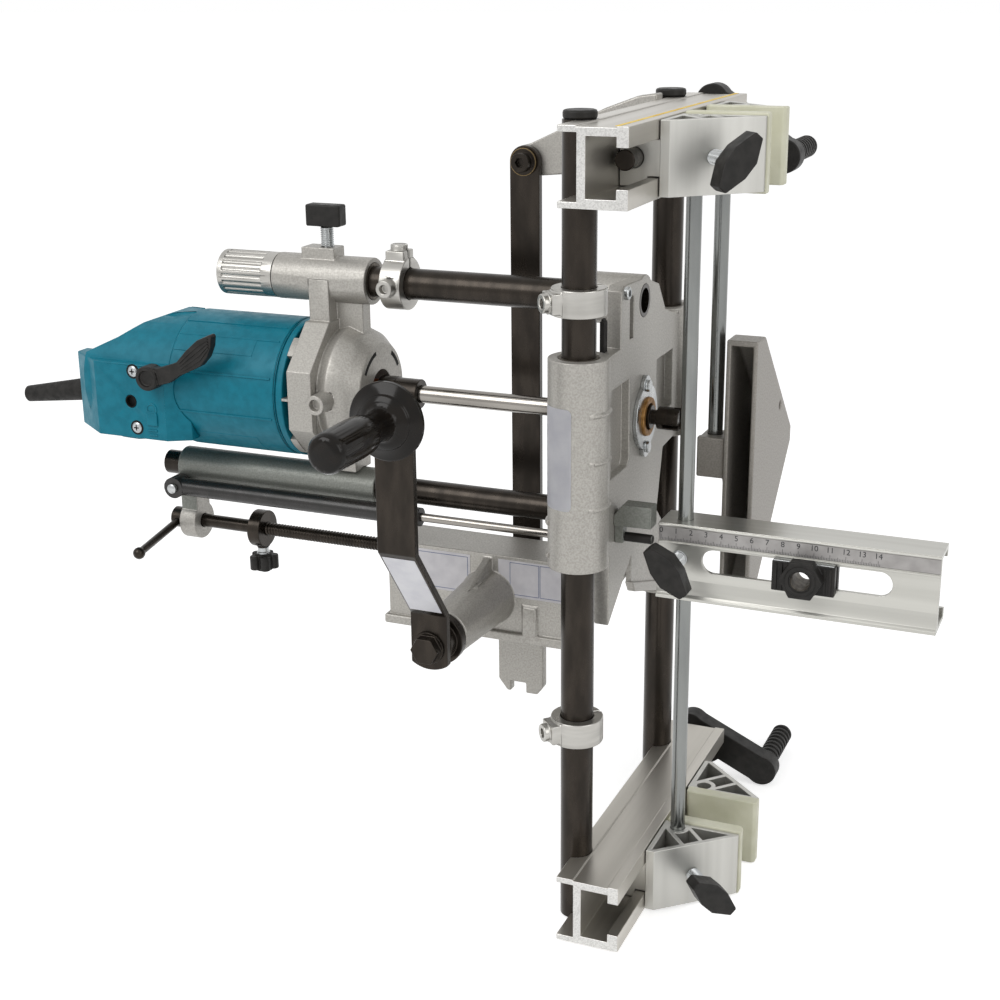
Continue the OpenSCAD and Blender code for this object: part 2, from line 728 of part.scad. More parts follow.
// Round motor housing with ribs and a front ring
module motor_housing() color("teal") {
    difference() {
        translate([0, 0, motor_z]) rotate([0, 90, 0]) rotate_extrude() polygon([[0, motor_left],
            [motor_r, motor_left], [motor_r, motor_right - 7.5], [motor_r - 1.5, motor_right - 7],
            [motor_r - 1.5, motor_right - 5.5], [motor_r, motor_right - 5], [motor_r, motor_right],
            [motor_r - 8, motor_right], [motor_r - 8, flange_left - seat_gap], [0, flange_left - seat_gap]]);
        translate([0, 0, cutter_z]) along_x(motor_left + 4, flange_left + cut, motor_r - motor_wall - 8);
        translate([0, 0, cutter_z]) along_x(core_left, core_right, field_out + seat_gap);
        translate([0, 0, cutter_z]) along_x(motor_left - cut, motor_left + 5, bearing_r + 6);
    }
}

// End cover: the round body runs on and slopes down behind, with a box for the switch in front
module switch_housing() color("teal") {
    right = motor_left - seat_gap;
    profile = [[right, motor_z - motor_r + 4], [right, motor_z + motor_r - 0.5], [-389, motor_z + motor_r - 1],
        [-407, 104.5], [-422, 95], [-445, 84], [switch_rear + 2, 72], [switch_rear, 69], [switch_rear, 24],
        [switch_rear + 6, 20], [-420, 14]];
    plan = [[right, -6], [right, 6], [-430, 22], [switch_rear, 12], [switch_rear, -28], [-430, -28]];
    box_plan = [[switch_rear + 0.5, -32], [-432, cover_y], [-373, cover_y], [-357, -45], [-357, -30],
        [switch_rear + 0.5, -20]];
    difference() {
        union() {
            intersection() {
                plate_y(-49, 49) polygon(profile);
                linear_extrude(height = 2 * motor_d) polygon(plan);
            }
            intersection() {
                plate_y(-49, 49) polygon(profile);
                translate([0, 0, motor_z]) along_x(-446, right, motor_r - 0.7);
            }
            difference() {
                translate([0, 0, 25]) linear_extrude(height = 55.5) polygon(box_plan);
                translate([0, 0, motor_z]) along_x(right, -300, motor_r + 0.3);
            }
        }
        translate([0, 0, cutter_z]) along_x(rear_bearing_x, right + cut, bearing_r + seat_gap);
        span([switch_rear + 12, -26, 24], [rear_bearing_x - 6, 16, 64]);
        boot_place() along_x(-cut, boot_tail + cut, cable_bore_d / 2 + 2 + seat_gap);
        translate([switch_x, 0, switch_z]) along_y(cover_y - cut, cover_y + 10, 5 + run_gap);
        translate([-402, 0, 52.5]) along_y(cover_y - cut, cover_y + 4, 4.6);
    }
}

// Lever of the switch, with a leaf-shaped end
module switch_lever() color("black") translate([switch_x, 0, switch_z]) {
    along_y(cover_y - air_gap - 1, cover_y + 9, 5);
    difference() {
        along_y(cover_y - 12, cover_y - air_gap, 9);
        along_y(cover_y - 13, cover_y - 10.5, 5.5);
    }
    plate_y(cover_y - 10, cover_y - 2.5) polygon([[-1, 7], [9, 8], [17, 10.5], [25, 13.5], [33, 22], [43, 30.5],
        [54, 35.5], [55.5, 34], [54.5, 27], [51, 19], [45, 12.5], [36, 8], [26, 3.5], [18, -2], [8, -5], [0, -7]]);
}

// Place of the cable boot: it leaves the housing along its own X, drooping a little
module boot_place() {
    translate([switch_rear, 0, boot_z]) rotate([0, -boot_droop, 0]) children();
}

// Tapered boot for the cable
module cable_boot() color("black") {
    difference() {
        union() {
            boot_place() rotate([0, -90, 0]) translate([0, 0, 2]) cylinder(h = boot_length, r1 = 9.4, r2 = 6.3);
            boot_place() along_x(-3, boot_tail, cable_bore_d / 2 + 2);
        }
        boot_place() along_x(-boot_length - 9, boot_tail + cut, cable_bore_d / 2);
    }
}

// Field core around the armature
module field_core() color("dimgray") translate([0, 0, cutter_z]) difference() {
    along_x(core_left + 0.2, core_right - 0.2, field_out);
    along_x(core_left - cut, core_right + cut, field_in);
}

// Two ball bearings, drawn as rings
module motor_bearings() color("silver") translate([0, 0, cutter_z]) {
    for (x = [front_bearing_x, rear_bearing_x]) difference() {
        along_x(x + 0.2, x + bearing_t, bearing_r);
        along_x(x - cut, x + bearing_t + cut, arm_shaft_r + run_gap);
    }
}

// Armature with its shaft, core, commutator, fan and collet end
module armature() color("chocolate") translate([0, 0, cutter_z]) difference() {
    union() {
        along_x(rear_bearing_x + air_gap, nose_x + 4, arm_shaft_r);
        along_x(core_left, core_right, core_r);
        along_x(motor_left + 1, motor_left + 10, arm_shaft_r + 6);
        along_x(fan_x, fan_x + 4, motor_r - motor_wall - 10);
    }
    along_x(shaft_left, nose_x + 10, shaft_r + seat_gap);
}

// Two carbon brushes that meet the commutator
module carbon_brushes() color("black") translate([0, 0, cutter_z]) {
    for (s = [0, 180]) rotate([s, 0, 0])
        span([motor_left + 6, -3, arm_shaft_r + 6 + run_gap], [motor_left + 9.5, 3, arm_shaft_r + 18]);
}

// Round shaft that carries the cutter head
module cutter_shaft() color("silver") translate([0, 0, cutter_z]) along_x(shaft_left, shaft_right, shaft_r);

// Cutter head on a slimmer neck, with crossed teeth
module cutter_head() color("black") translate([0, 0, cutter_z]) {
    difference() {
        union() {
            along_x(shaft_right - 8, shaft_right + 1.5, head_d / 2 - 0.6);
            along_x(shaft_right, head_left + 2, 5);
            along_x(head_left, head_right, head_d / 2 - 0.8);
        }
        along_x(shaft_right - 9, shaft_right, shaft_r + seat_gap);
        span([head_right - 5, -2, -9], [head_right + cut, 2, 9]);
        rotate([35, 0, 0]) span([head_left + 4, 4, -1.6], [head_right + cut, 9, 1.6]);
        rotate([215, 0, 0]) span([head_left + 4, 4, -1.6], [head_right + cut, 9, 1.6]);
    }
}

// Collet nut that grips the shaft
module collet_nut() color("black") translate([0, 0, cutter_z]) {
    difference() {
        union() {
            along_x(nose_x + 4 + seat_gap, nut_right, nut_r - 1.5);
            translate([nose_x + 5, 0, 0]) rotate([90, 0, 90]) linear_extrude(height = 12) hexagon(20);
        }
        along_x(-400, 0, shaft_r + seat_gap);
    }
}

// Fluted sleeve on the end of the upper barrel
module fluted_sleeve() color("silver") translate([0, 0, bar_z]) {
    flutes = 20;
    difference() {
        along_x(fluted_left, sleeve_left - air_gap, sleeve_r - 0.3);
        along_x(sleeve_left - spigot_length - air_gap, 0, spigot_r + run_gap);
        along_x(-400, 0, bar_r + air_gap);
        for (i = [0 : flutes - 1]) rotate([i * 360 / flutes, 0, 0]) translate([0, 0, sleeve_r + 0.6])
            along_x(fluted_left + 4, sleeve_left - 9, 1.8, $fn = 16);
    }
}

// Plain bushes in the two barrels of the motor unit
module slide_bushes() color("goldenrod") {
    for (x = [sleeve_left - spigot_length + 6, sleeve_right - bush_length]) translate([0, 0, bar_z]) difference() {
        along_x(x, x + bush_length, bar_r + bush_wall + run_gap);
        along_x(x - cut, x + bush_length + cut, bar_r + run_gap);
    }
    for (x = [low_sleeve_left, low_sleeve_right - bush_length]) translate([0, 0, low_bar_z]) difference() {
        along_x(x, x + bush_length, low_bar_r + bush_wall);
        along_x(x - cut, x + bush_length + cut, low_bar_r + run_gap);
    }
}

// Knob and stud that lock the plunge
module lock_knob() color("black") translate([knob_x, 0, 0]) {
    along_z(bar_z + sleeve_r + 3, 180, stud_r);
    span([-14, -5.5, 179], [13, 5.5, 194]);
}

// Cylinder of the gas spring, hung on a pin of the lower barrel
module gas_spring_cylinder() color("silver") translate([0, gas_y, gas_z]) {
    difference() {
        union() {
            along_x(gas_left + 6, gas_right, gas_r);
            translate([gas_left + 4, 0, 0]) along_y(-gas_r, gas_r, 8);
        }
        along_x(gas_left + 20, gas_right - 12, gas_r - gas_wall);
        along_x(gas_left + 20, gas_right + cut, gas_rod_r + run_gap);
        translate([gas_left + 4, 0, 0]) along_y(-20, 20, 3.5 + seat_gap);
    }
}

// Depth screw with its tommy lever
module depth_screw() color("dimgray") {
    translate([0, 0, depth_z]) along_x(lug_left - 10, depth_right, depth_r);
    translate([0, 0, depth_z]) along_x(lug_left - 12, lug_left - air_gap, depth_r + 3);
    translate([lug_left - 6, 0, depth_z]) rotate([9.5, 0, 0]) {
        along_y(-58, 9, 3);
        rotate([90, 0, 0]) translate([0, 0, 60]) rotate_extrude() polygon([[0, -4], [3.2, -3.6], [4.2, -2],
            [4.6, 0], [4.2, 2], [2.6, 3.8], [1.2, 4.5], [0, 4.5]]);
    }
}

// Stop nut on the depth screw
module depth_nut() color("dimgray") difference() {
    union() {
        translate([0, 0, depth_z]) along_x(depth_nut_left, depth_nut_right, depth_nut_r);
        translate([depth_knob_x, 0, 0]) along_z(depth_z - depth_nut_r - 1, depth_z, 4.6);
    }
    translate([0, 0, depth_z]) along_x(-400, 0, depth_r + run_gap);
    translate([depth_knob_x, 0, 0]) along_z(-100, depth_z - depth_r - 2, 3 + run_gap);
}

// Star knob that locks the stop nut
module depth_knob() color("black") translate([depth_knob_x, 0, 0]) {
    top = depth_z - depth_nut_r - 6;
    along_z(top - 13, top, 6.5);
    for (i = [0 : 4]) rotate(i * 72 + 20) translate([7.4, 0, 0]) along_z(top - 12, top - 1, 3.8, $fn = 24);
    along_z(top - 1, depth_z - depth_r - 3, 3);
}

// Collar on the upper guide bar that limits the plunge
module plunge_collar() color("silver") translate([0, 0, bar_z]) {
    ring = bar_r + 7.5;
    right = collar_left + collar_length;
    difference() {
        union() {
            along_x(collar_left + 6, right - 6, ring);
            span([collar_left + 7, -8, bar_r + 2], [right - 7, 8, ring + 5]);
            translate([(collar_left + right) / 2, 0, 0]) along_z(ring + 4, ring + 9, 6);
            translate([(collar_left + right) / 2, 0, 0]) along_y(-ring - 8, -bar_r - 2, 6);
        }
        along_x(-400, 0, bar_r + run_gap);
        translate([(collar_left + right) / 2, 0, 0]) along_y(-ring - 9, -ring - 4, 3);
        span([collar_left, -0.8, bar_r - 2], [right, 0.8, ring + 14]);
    }
}

// Threaded clamp screw in a rail's channel
module clamp_screw(z) {
    translate([screw_x, 0, z]) along_y(screw_front, screw_rear + crank_arm_t, screw_r);
}

module upper_clamp_screw() color("black") clamp_screw(rail_z);

module lower_clamp_screw() color("black") clamp_screw(-rail_z);

// Clamp crank with a ribbed grip
module clamp_crank(z, turn) {
    ribs = 9;
    translate([screw_x, 0, z]) rotate([0, turn, 0]) {
        difference() {
            plate_y(crank_y, crank_y + crank_arm_t) {
                paddle([-17, 11], [clamp_arm_length, 0], clamp_arm_r, clamp_arm_r - 0.8);
                circle(r = screw_r + 6.6);
            }
            along_y(crank_y - cut, crank_y + crank_arm_t + cut, screw_r + seat_gap);
        }
        translate([clamp_arm_length, 0, 0]) {
            along_y(crank_y + crank_arm_t - cut, crank_y + crank_arm_t + 60, clamp_grip_d / 2 - 1.5);
            for (i = [0 : ribs - 1])
                translate([0, crank_y + crank_arm_t + 4 + i * 6.2, 0]) along_y(0, 3.4, clamp_grip_d / 2);
        }
    }
}

module upper_clamp_crank() color("black") clamp_crank(rail_z, 25);

module lower_clamp_crank() color("black") clamp_crank(-rail_z, 15);

// Inside of a front jaw in plan
module jaw_inside() {
    intersection() {
        translate([jaw_lip + jaw_wall, -jaw_far]) square([pad_length - jaw_wall - jaw_lip - 2, 45 - jaw_wall]);
        translate([jaw_left, -jaw_far]) rotate(jaw_angle) translate([-100, jaw_wall]) square([300, 100]);
    }
}

// Front jaw in plan: a hollow wedge with two webs beside the rod
module jaw_plan() {
    difference() {
        polygon([[jaw_lip, -jaw_far], [jaw_left, -jaw_far], [jaw_right, -jaw_near],
            [jaw_right, -pad_back_y - seat_gap], [jaw_lip, -pad_back_y - seat_gap]]);
        difference() {
            jaw_inside();
            translate([rod_x, -rod_y]) circle(r = rod_r + 3.5);
            for (s = [-1, 1]) translate([rod_x, -rod_y]) rotate(jaw_angle - 90)
                translate([0, s * (rod_r + 2) - 1.5]) square([60, 3]);
        }
        translate([rod_x, -rod_y]) circle(r = rod_r + run_gap);
    }
}

// Front jaw with its tongue in the rail's channel, and a bore for the lock stud
module jaw(z) {
    tongue = rail_h / 2 - rail_wall - air_gap;
    neck = rail_gap / 2 - air_gap;
    translate([0, 0, z]) difference() {
        union() {
            translate([0, 0, -jaw_h / 2]) linear_extrude(height = jaw_h) jaw_plan();
            span([-rail_lip - 1, -tongue_y - tongue_length, -neck], [jaw_lip + cut, -tongue_y, neck]);
            span([web_front + air_gap, -tongue_y - tongue_length, -tongue],
                [-rail_lip - air_gap, -tongue_y, tongue]);
        }
        translate([screw_x, 0, 0]) along_y(-200, 0, screw_r + run_gap);
        translate([rod_x, -rod_y, 0]) rotate([0, 0, jaw_angle - 90]) along_x(0, 100, stud_r + run_gap);
    }
}

module front_jaws() color("silver") {
    jaw(rail_z);
    jaw(-rail_z);
}

module rear_jaws() color("silver") mirror([0, 1, 0]) {
    jaw(rail_z);
    jaw(-rail_z);
}

// Pad on a jaw's face
module pad(z) {
    h = jaw_h / 2 + 1.6;
    c = 2;
    translate([0, 0, z - h]) linear_extrude(height = 2 * h) polygon([[2, -pad_back_y], [2, -pad_face - c],
        [2 + c, -pad_face], [pad_length + 2 - c, -pad_face], [pad_length + 2, -pad_face - c],
        [pad_length + 2, -pad_back_y]]);
}

module front_pads() color("beige") {
    pad(rail_z);
    pad(-rail_z);
}

module rear_pads() color("beige") mirror([0, 1, 0]) {
    pad(rail_z);
    pad(-rail_z);
}

// Wing of a lock knob, along the stud's axis X
module wing(near, turn) {
    rotate([turn, 0, 0]) {
        translate([near, 0, 0]) rotate([90, 0, 90]) linear_extrude(height = 13)
            polygon([[-19, -4], [-19, 2], [-6, 8.5], [5, 8.5], [19, 4], [19, -2], [6, -8.5], [-5, -8.5]]);
        along_x(near - 2, near + cut, 6.5);
    }
}

// Lock knob of a front jaw: its stud presses on the rod
module jaw_knob(z, turn) {
    translate([rod_x, -rod_y, z]) rotate([0, 0, jaw_angle - 90]) {
        along_x(rod_r + air_gap, stud_reach + 25, stud_r);
        wing(stud_reach + 22, turn);
    }
}

module upper_wing_knob() color("black") jaw_knob(rail_z, 50);

module lower_wing_knob() color("black") jaw_knob(-rail_z, -45);

// Rod that ties the front jaws and carries the gauge
module front_rod() color("silver")
    translate([rod_x, -rod_y, 0]) along_z(-rail_z - jaw_h / 2 + 2, rail_z + jaw_h / 2 - 2, rod_r);

// Channel with a slot and a ruler step, on the front rod
module gauge_rail() color("silver") {
    right = gauge_left + gauge_length;
    bottom = gauge_top - gauge_h;
    lip = 5;
    cove = 4;
    difference() {
        plate_x_dir(gauge_left, right) difference() {
            union() {
                translate([-gauge_front, bottom]) square([gauge_depth, gauge_h]);
                polygon([[-gauge_front + 1, bottom], [-gauge_front - cove, bottom], [-gauge_front - cove, bottom + 2],
                    [-gauge_front - cove * 0.6, bottom + 3.6], [-gauge_front - cove * 0.25, bottom + 7.5],
                    [-gauge_front, bottom + 13], [-gauge_front + 1, bottom + 13]]);
            }
            translate([-gauge_front + gauge_wall, bottom + gauge_wall])
                square([gauge_depth - 2 * gauge_wall, gauge_h - 2 * gauge_wall]);
            translate([-gauge_rear - gauge_wall - cut, bottom + gauge_wall + lip])
                square([gauge_wall + 2 * cut, gauge_h - 2 * gauge_wall - 2 * lip]);
            translate([-gauge_front - cut, gauge_top - 2.3 - ruler_h]) square([cut + 0.6, ruler_h]);
        }
        translate([0, 0, slot_z]) plate_y(-gauge_front - cut, -gauge_front + gauge_wall + cut)
            stadium([slot_left + slot_h / 2, 0], [slot_left + slot_length - slot_h / 2, 0], slot_h / 2);
        translate([rod_x, -rod_y, 0]) along_z(-100, 100, rod_r + run_gap);
        translate([rod_x, 0, gauge_knob_z]) along_y(-gauge_front - cut, -rod_y, stud_r + run_gap);
    }
}

// Lock knob of the gauge
module gauge_knob() color("black") translate([rod_x, -rod_y, gauge_knob_z]) rotate([0, 0, -90]) {
    reach = gauge_front - rod_y;
    along_x(rod_r + air_gap, reach + 23, stud_r);
    wing(reach + 19, -52);
}

// Slider in the gauge's slot, with the drill bush
module drill_slider() color("black") {
    neck = slot_h / 2 - air_gap;
    difference() {
        union() {
            span([slider_x - slider_half, -gauge_front - 6, slider_z - 10],
                [slider_x + slider_half, -gauge_front - air_gap, slider_z + 10]);
            span([slider_x - slider_half + 6, -gauge_front - 1, slot_z - neck],
                [slider_x + slider_half - 6, -gauge_front + gauge_wall + 2, slot_z + neck]);
            span([slider_x - slider_half, -gauge_front + gauge_wall + air_gap, slider_z - 10],
                [slider_x + slider_half, -gauge_front + gauge_wall + 6, slider_z + 10]);
            translate([slider_x, -gauge_front - 5, slot_z]) rotate([90, 0, 0])
                linear_extrude(height = 9) hexagon(24);
        }
        translate([slider_x, 0, slot_z]) along_y(-gauge_front - 20, -gauge_rear, drill_bore_d / 2);
    }
}

// Rod in the upper rear jaw that carries the backing plate
module rear_rod() color("silver")
    translate([rod_x, rod_y, 0]) along_z(back_rod_z - 24, rail_z + jaw_h / 2 - 2, rod_r);

// Hollow casting behind the door, open towards it, on the rear rod
module backing_plate() color("gray") {
    side = [[back_y, 116], [back_y + 20, 116], [back_y + 106, 32], [back_y + 106, 22], [back_y + 20, -62],
        [back_y, -62]];
    hollow = [[back_y - cut, 112], [back_y + 17, 112], [back_y + 101, 31], [back_y + 101, 23],
        [back_y + 17, -58], [back_y - cut, -58]];
    difference() {
        union() {
            plate_x_dir(back_left, back_right) polygon(side);
            span([back_left - 19, back_y + 2, 20], [back_left + 1, back_y + 8, back_rod_z + 2]);
            span([rod_x - 8, back_y + 7, 20], [back_left + 1, rod_y + rod_r + 4, back_rod_z + 2]);
        }
        plate_x_dir(back_left + back_wall, back_right - back_wall) polygon(hollow);
        translate([rod_x, rod_y, 0]) along_z(back_rod_z - 24, 100, rod_r + seat_gap);
        translate([0, back_y + 70, 57]) along_x(back_right - back_wall - cut, back_right + cut, 3);
    }
}

upper_rail();
lower_rail();
guide_tubes();
tube_caps();
drive_bracket();
pivot_bolt();
connecting_bar();
upper_stop_collar();
lower_stop_collar();
carriage_casting();
crank_housing();
guide_bushes();
spindle_plate();
spindle_bush();
upper_guide_bar();
lower_guide_bar();
gas_spring_rod();
index_bracket();
crank_spindle();
crank_lever();
crank_arm();
crank_bolt();
crank_grip();
motor_flange();
lower_barrel();
motor_housing();
switch_housing();
switch_lever();
cable_boot();
field_core();
motor_bearings();
armature();
carbon_brushes();
cutter_shaft();
cutter_head();
collet_nut();
fluted_sleeve();
slide_bushes();
lock_knob();
gas_spring_cylinder();
depth_screw();
depth_nut();
depth_knob();
plunge_collar();
upper_clamp_screw();
lower_clamp_screw();
upper_clamp_crank();
lower_clamp_crank();
front_jaws();
rear_jaws();
front_pads();
rear_pads();
upper_wing_knob();
lower_wing_knob();
front_rod();
gauge_rail();
gauge_knob();
drill_slider();
rear_rod();
backing_plate();
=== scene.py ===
import json
import math

import bmesh
import bpy
from mathutils import Matrix, Vector


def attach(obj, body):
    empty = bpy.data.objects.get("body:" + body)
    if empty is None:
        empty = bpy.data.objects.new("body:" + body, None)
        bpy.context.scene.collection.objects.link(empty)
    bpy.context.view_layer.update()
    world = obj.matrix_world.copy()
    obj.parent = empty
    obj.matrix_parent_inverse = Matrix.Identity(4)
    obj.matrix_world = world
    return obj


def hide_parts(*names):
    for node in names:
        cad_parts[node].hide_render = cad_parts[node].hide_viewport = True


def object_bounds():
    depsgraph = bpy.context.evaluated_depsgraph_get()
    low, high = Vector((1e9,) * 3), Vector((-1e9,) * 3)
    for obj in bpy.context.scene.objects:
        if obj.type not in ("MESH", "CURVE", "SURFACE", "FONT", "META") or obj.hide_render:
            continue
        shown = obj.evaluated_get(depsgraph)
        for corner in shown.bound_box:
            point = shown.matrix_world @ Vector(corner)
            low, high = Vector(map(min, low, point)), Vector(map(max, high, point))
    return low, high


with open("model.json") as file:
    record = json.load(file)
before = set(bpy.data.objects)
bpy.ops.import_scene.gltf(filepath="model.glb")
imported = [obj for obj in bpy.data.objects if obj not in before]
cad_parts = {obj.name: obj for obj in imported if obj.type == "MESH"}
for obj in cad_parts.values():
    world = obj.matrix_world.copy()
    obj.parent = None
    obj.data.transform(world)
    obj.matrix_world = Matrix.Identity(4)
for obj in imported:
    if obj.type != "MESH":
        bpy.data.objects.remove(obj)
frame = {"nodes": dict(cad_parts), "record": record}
cad_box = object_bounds()

# Camera: the tool seen from the side of its crank, a little from the door's side and from above.
# Its lens and place come from the straight edges of the rails, tubes and gauge.
camera_place = (0.29707, -1.00571, 0.35072)
turn, down_tilt, roll = (math.radians(a) for a in (23.224, 18.122, 0.601))
ahead = Vector((-math.sin(turn) * math.cos(down_tilt), math.cos(turn) * math.cos(down_tilt),
                -math.sin(down_tilt)))
level = Vector((math.cos(turn), math.sin(turn), 0))
below = ahead.cross(level)
right = math.cos(roll) * level + math.sin(roll) * below
upward = math.sin(roll) * level - math.cos(roll) * below
camera = bpy.data.objects.new("camera", bpy.data.cameras.new("camera"))
camera.data.lens = 58.83
camera.data.sensor_width = 36
camera.data.clip_start = 0.05
camera.matrix_world = (Matrix.Translation(camera_place)
                       @ Matrix((right, upward, -ahead)).transposed().to_4x4())
bpy.context.scene.collection.objects.link(camera)
bpy.context.scene.camera = camera
bpy.context.scene.view_settings.view_transform = "Standard"


# Studio: a pale floor under the lower rail, a white surround and two soft lamps.
# The surround is white to the eye and in reflections, and gives half as much light.
def linear(code):
    parts = [int(code[i:i + 2], 16) / 255 for i in (1, 3, 5)]
    return [c / 12.92 if c <= 0.04045 else ((c + 0.055) / 1.055) ** 2.4 for c in parts] + [1]


def fresh_tree(owner):
    owner.use_nodes = True
    owner.node_tree.nodes.clear()
    return owner.node_tree


def add(tree, kind, inputs=None, **settings):
    made = tree.nodes.new(kind)
    for key, value in settings.items():
        setattr(made, key, value)
    for key, value in (inputs or {}).items():
        socket = next(s for s in made.inputs if s.identifier == key)
        if isinstance(value, bpy.types.NodeSocket):
            tree.links.new(value, socket)
        else:
            socket.default_value = value
    return made


def seen_white(tree):
    rays = add(tree, "ShaderNodeLightPath").outputs
    seen = rays["Is Camera Ray"]
    for kind in ("Is Glossy Ray", "Is Transmission Ray"):
        either = add(tree, "ShaderNodeMath", {"Value": seen, "Value_001": rays[kind]},
                     operation="MAXIMUM")
        seen = either.outputs[0]
    return seen


world = bpy.data.worlds.new("white_studio")
bpy.context.scene.world = world
tree = fresh_tree(world)
strength = add(tree, "ShaderNodeMapRange",
               {"Value": seen_white(tree), "To Min": 0.5, "To Max": 1.0})
sky = add(tree, "ShaderNodeBackground",
          {"Color": (1, 1, 1, 1), "Strength": strength.outputs[0]})
add(tree, "ShaderNodeOutputWorld", {"Surface": sky.outputs[0]})

floor_size, floor_drop = 40, 0.001
floor_paint = bpy.data.materials.new("pale_floor_paint")
tree = fresh_tree(floor_paint)
lift = add(tree, "ShaderNodeMath", {"Value": seen_white(tree), "Value_001": 0.62},
           operation="MULTIPLY")
matt = add(tree, "ShaderNodeBsdfDiffuse", {"Color": (0.82, 0.82, 0.82, 1)})
glow = add(tree, "ShaderNodeEmission", {"Color": (1, 1, 1, 1), "Strength": lift.outputs[0]})
both = add(tree, "ShaderNodeAddShader",
           {"Shader": matt.outputs[0], "Shader_001": glow.outputs[0]})
add(tree, "ShaderNodeOutputMaterial", {"Surface": both.outputs[0]})
bpy.ops.mesh.primitive_plane_add(size=floor_size, location=(0, 0, cad_box[0][2] - floor_drop))
floor = bpy.context.object
floor.name = "floor"
floor.data.materials.append(floor_paint)

lamp_target = Vector((-0.1, 0, 0))
for lamp_name, spot, size, watts in (("key_lamp", (-0.9, -1.5, 1.5), 1.3, 22),
                                     ("fill_lamp", (1.5, -0.7, 0.9), 1.2, 9)):
    lamp = bpy.data.objects.new(lamp_name, bpy.data.lights.new(lamp_name, "AREA"))
    lamp.data.size = size
    lamp.data.energy = watts
    lamp.location = spot
    lamp.rotation_euler = (lamp_target - Vector(spot)).to_track_quat("-Z", "Y").to_euler()
    bpy.context.scene.collection.objects.link(lamp)


# Rails: two lengths of aluminium extrusion, anodised satin and sawn off at the ends.
# The drawn surface has fine lines along its length, and the bare sawn ends are lighter
# and speckled by the saw.
def surface(name, light, dark, metallic, rough, spots_mm, grain_mm, relief_mm,
            stretch=(1, 1, 1), coat=0.0, sheen_level=0.5):
    # Soft spots mix the two tones and vary the gloss, and a grain stands as relief.
    # Real grains are mostly finer than 0.1 mm, and are drawn coarser so that they show.
    material = bpy.data.materials.new(name)
    tree = fresh_tree(material)
    place = add(tree, "ShaderNodeTexCoord")
    along = add(tree, "ShaderNodeMapping",
                {"Vector": place.outputs["Object"], "Scale": stretch})
    spots = add(tree, "ShaderNodeTexNoise",
                {"Vector": along.outputs[0], "Scale": 1000 / spots_mm, "Detail": 4.0})
    spread = add(tree, "ShaderNodeMapRange",
                 {"Value": spots.outputs[0], "From Min": 0.36, "From Max": 0.64})
    colour = add(tree, "ShaderNodeMix",
                 {"Factor_Float": spread.outputs[0], "A_Color": linear(dark),
                  "B_Color": linear(light)}, data_type="RGBA")
    polish = add(tree, "ShaderNodeMapRange",
                 {"Value": spots.outputs[0], "From Min": 0.3, "From Max": 0.7,
                  "To Min": rough * 1.18, "To Max": rough * 0.84})
    grain = add(tree, "ShaderNodeTexNoise",
                {"Vector": along.outputs[0], "Scale": 1000 / grain_mm, "Detail": 2.0})
    bump = add(tree, "ShaderNodeBump",
               {"Height": grain.outputs[0], "Distance": relief_mm / 1000, "Strength": 1.0})
    shader = add(tree, "ShaderNodeBsdfPrincipled",
                 {"Base Color": colour.outputs[2], "Metallic": metallic,
                  "Roughness": polish.outputs[0], "Normal": bump.outputs[0],
                  "Coat Weight": coat, "Coat Roughness": 0.08,
                  "Specular IOR Level": sheen_level})
    add(tree, "ShaderNodeOutputMaterial", {"Surface": shader.outputs[0]})
    return material


def piece(name, mesh, body, material, bevel_mm=0.0, corner=35):
    if isinstance(mesh, bmesh.types.BMesh):
        made = bpy.data.meshes.new(name)
        bmesh.ops.recalc_face_normals(mesh, faces=mesh.faces[:])
        mesh.to_mesh(made)
        mesh.free()
        mesh = made
    mesh.shade_smooth()
    mesh.set_sharp_from_angle(angle=math.radians(corner))
    mesh.materials.clear()
    mesh.materials.append(material)
    shape = bpy.data.objects.new(name, mesh)
    bpy.context.scene.collection.objects.link(shape)
    if bevel_mm:
        edge = shape.modifiers.new("rounded_edges", "BEVEL")
        edge.width = bevel_mm / 1000
        edge.segments = 2
        edge.limit_method = "ANGLE"
        edge.angle_limit = math.radians(corner)
        edge.use_clamp_overlap = False
        edge.harden_normals = True
    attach(shape, body)
    return shape


bodies = frame["record"]["behaviour"]["bodies"]
body_of_node = {n: b for b, members in bodies.items() for n in members}
weld_m, flat_angle = 2e-6, math.radians(0.6)


def rounded(node, material, bevel_mm, corner=35):
    source = bmesh.new()
    source.from_mesh(frame["nodes"][node].data)
    bmesh.ops.remove_doubles(source, verts=source.verts[:], dist=weld_m)
    bmesh.ops.dissolve_limit(source, angle_limit=flat_angle, verts=source.verts[:],
                             edges=source.edges[:])
    shape = piece(node + "_rounded", source, body_of_node[node], material,
                  bevel_mm, corner)
    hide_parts(node)
    return shape


rail_half = 126.5
sawn_skin = 0.15
speck_mm = 0.9
rail_finish = surface("anodised_aluminium_drawn", "#bfbbb3", "#b3afa7", metallic=0.9,
                      rough=0.34, spots_mm=14, grain_mm=0.5, relief_mm=0.012,
                      stretch=(1, 0.03, 1))
tree = rail_finish.node_tree
shader = next(n for n in tree.nodes if n.type == "BSDF_PRINCIPLED")
place = add(tree, "ShaderNodeTexCoord")
axes = add(tree, "ShaderNodeSeparateXYZ", {"Vector": place.outputs["Object"]})
far = add(tree, "ShaderNodeMath", {"Value": axes.outputs["Y"]}, operation="ABSOLUTE")
sawn = add(tree, "ShaderNodeMath",
           {"Value": far.outputs[0], "Value_001": (rail_half - sawn_skin) / 1000},
           operation="GREATER_THAN")
specks = add(tree, "ShaderNodeTexNoise",
             {"Vector": place.outputs["Object"], "Scale": 1000 / speck_mm, "Detail": 3.0})
speckle = add(tree, "ShaderNodeMapRange",
              {"Value": specks.outputs[0], "From Min": 0.4, "From Max": 0.55})
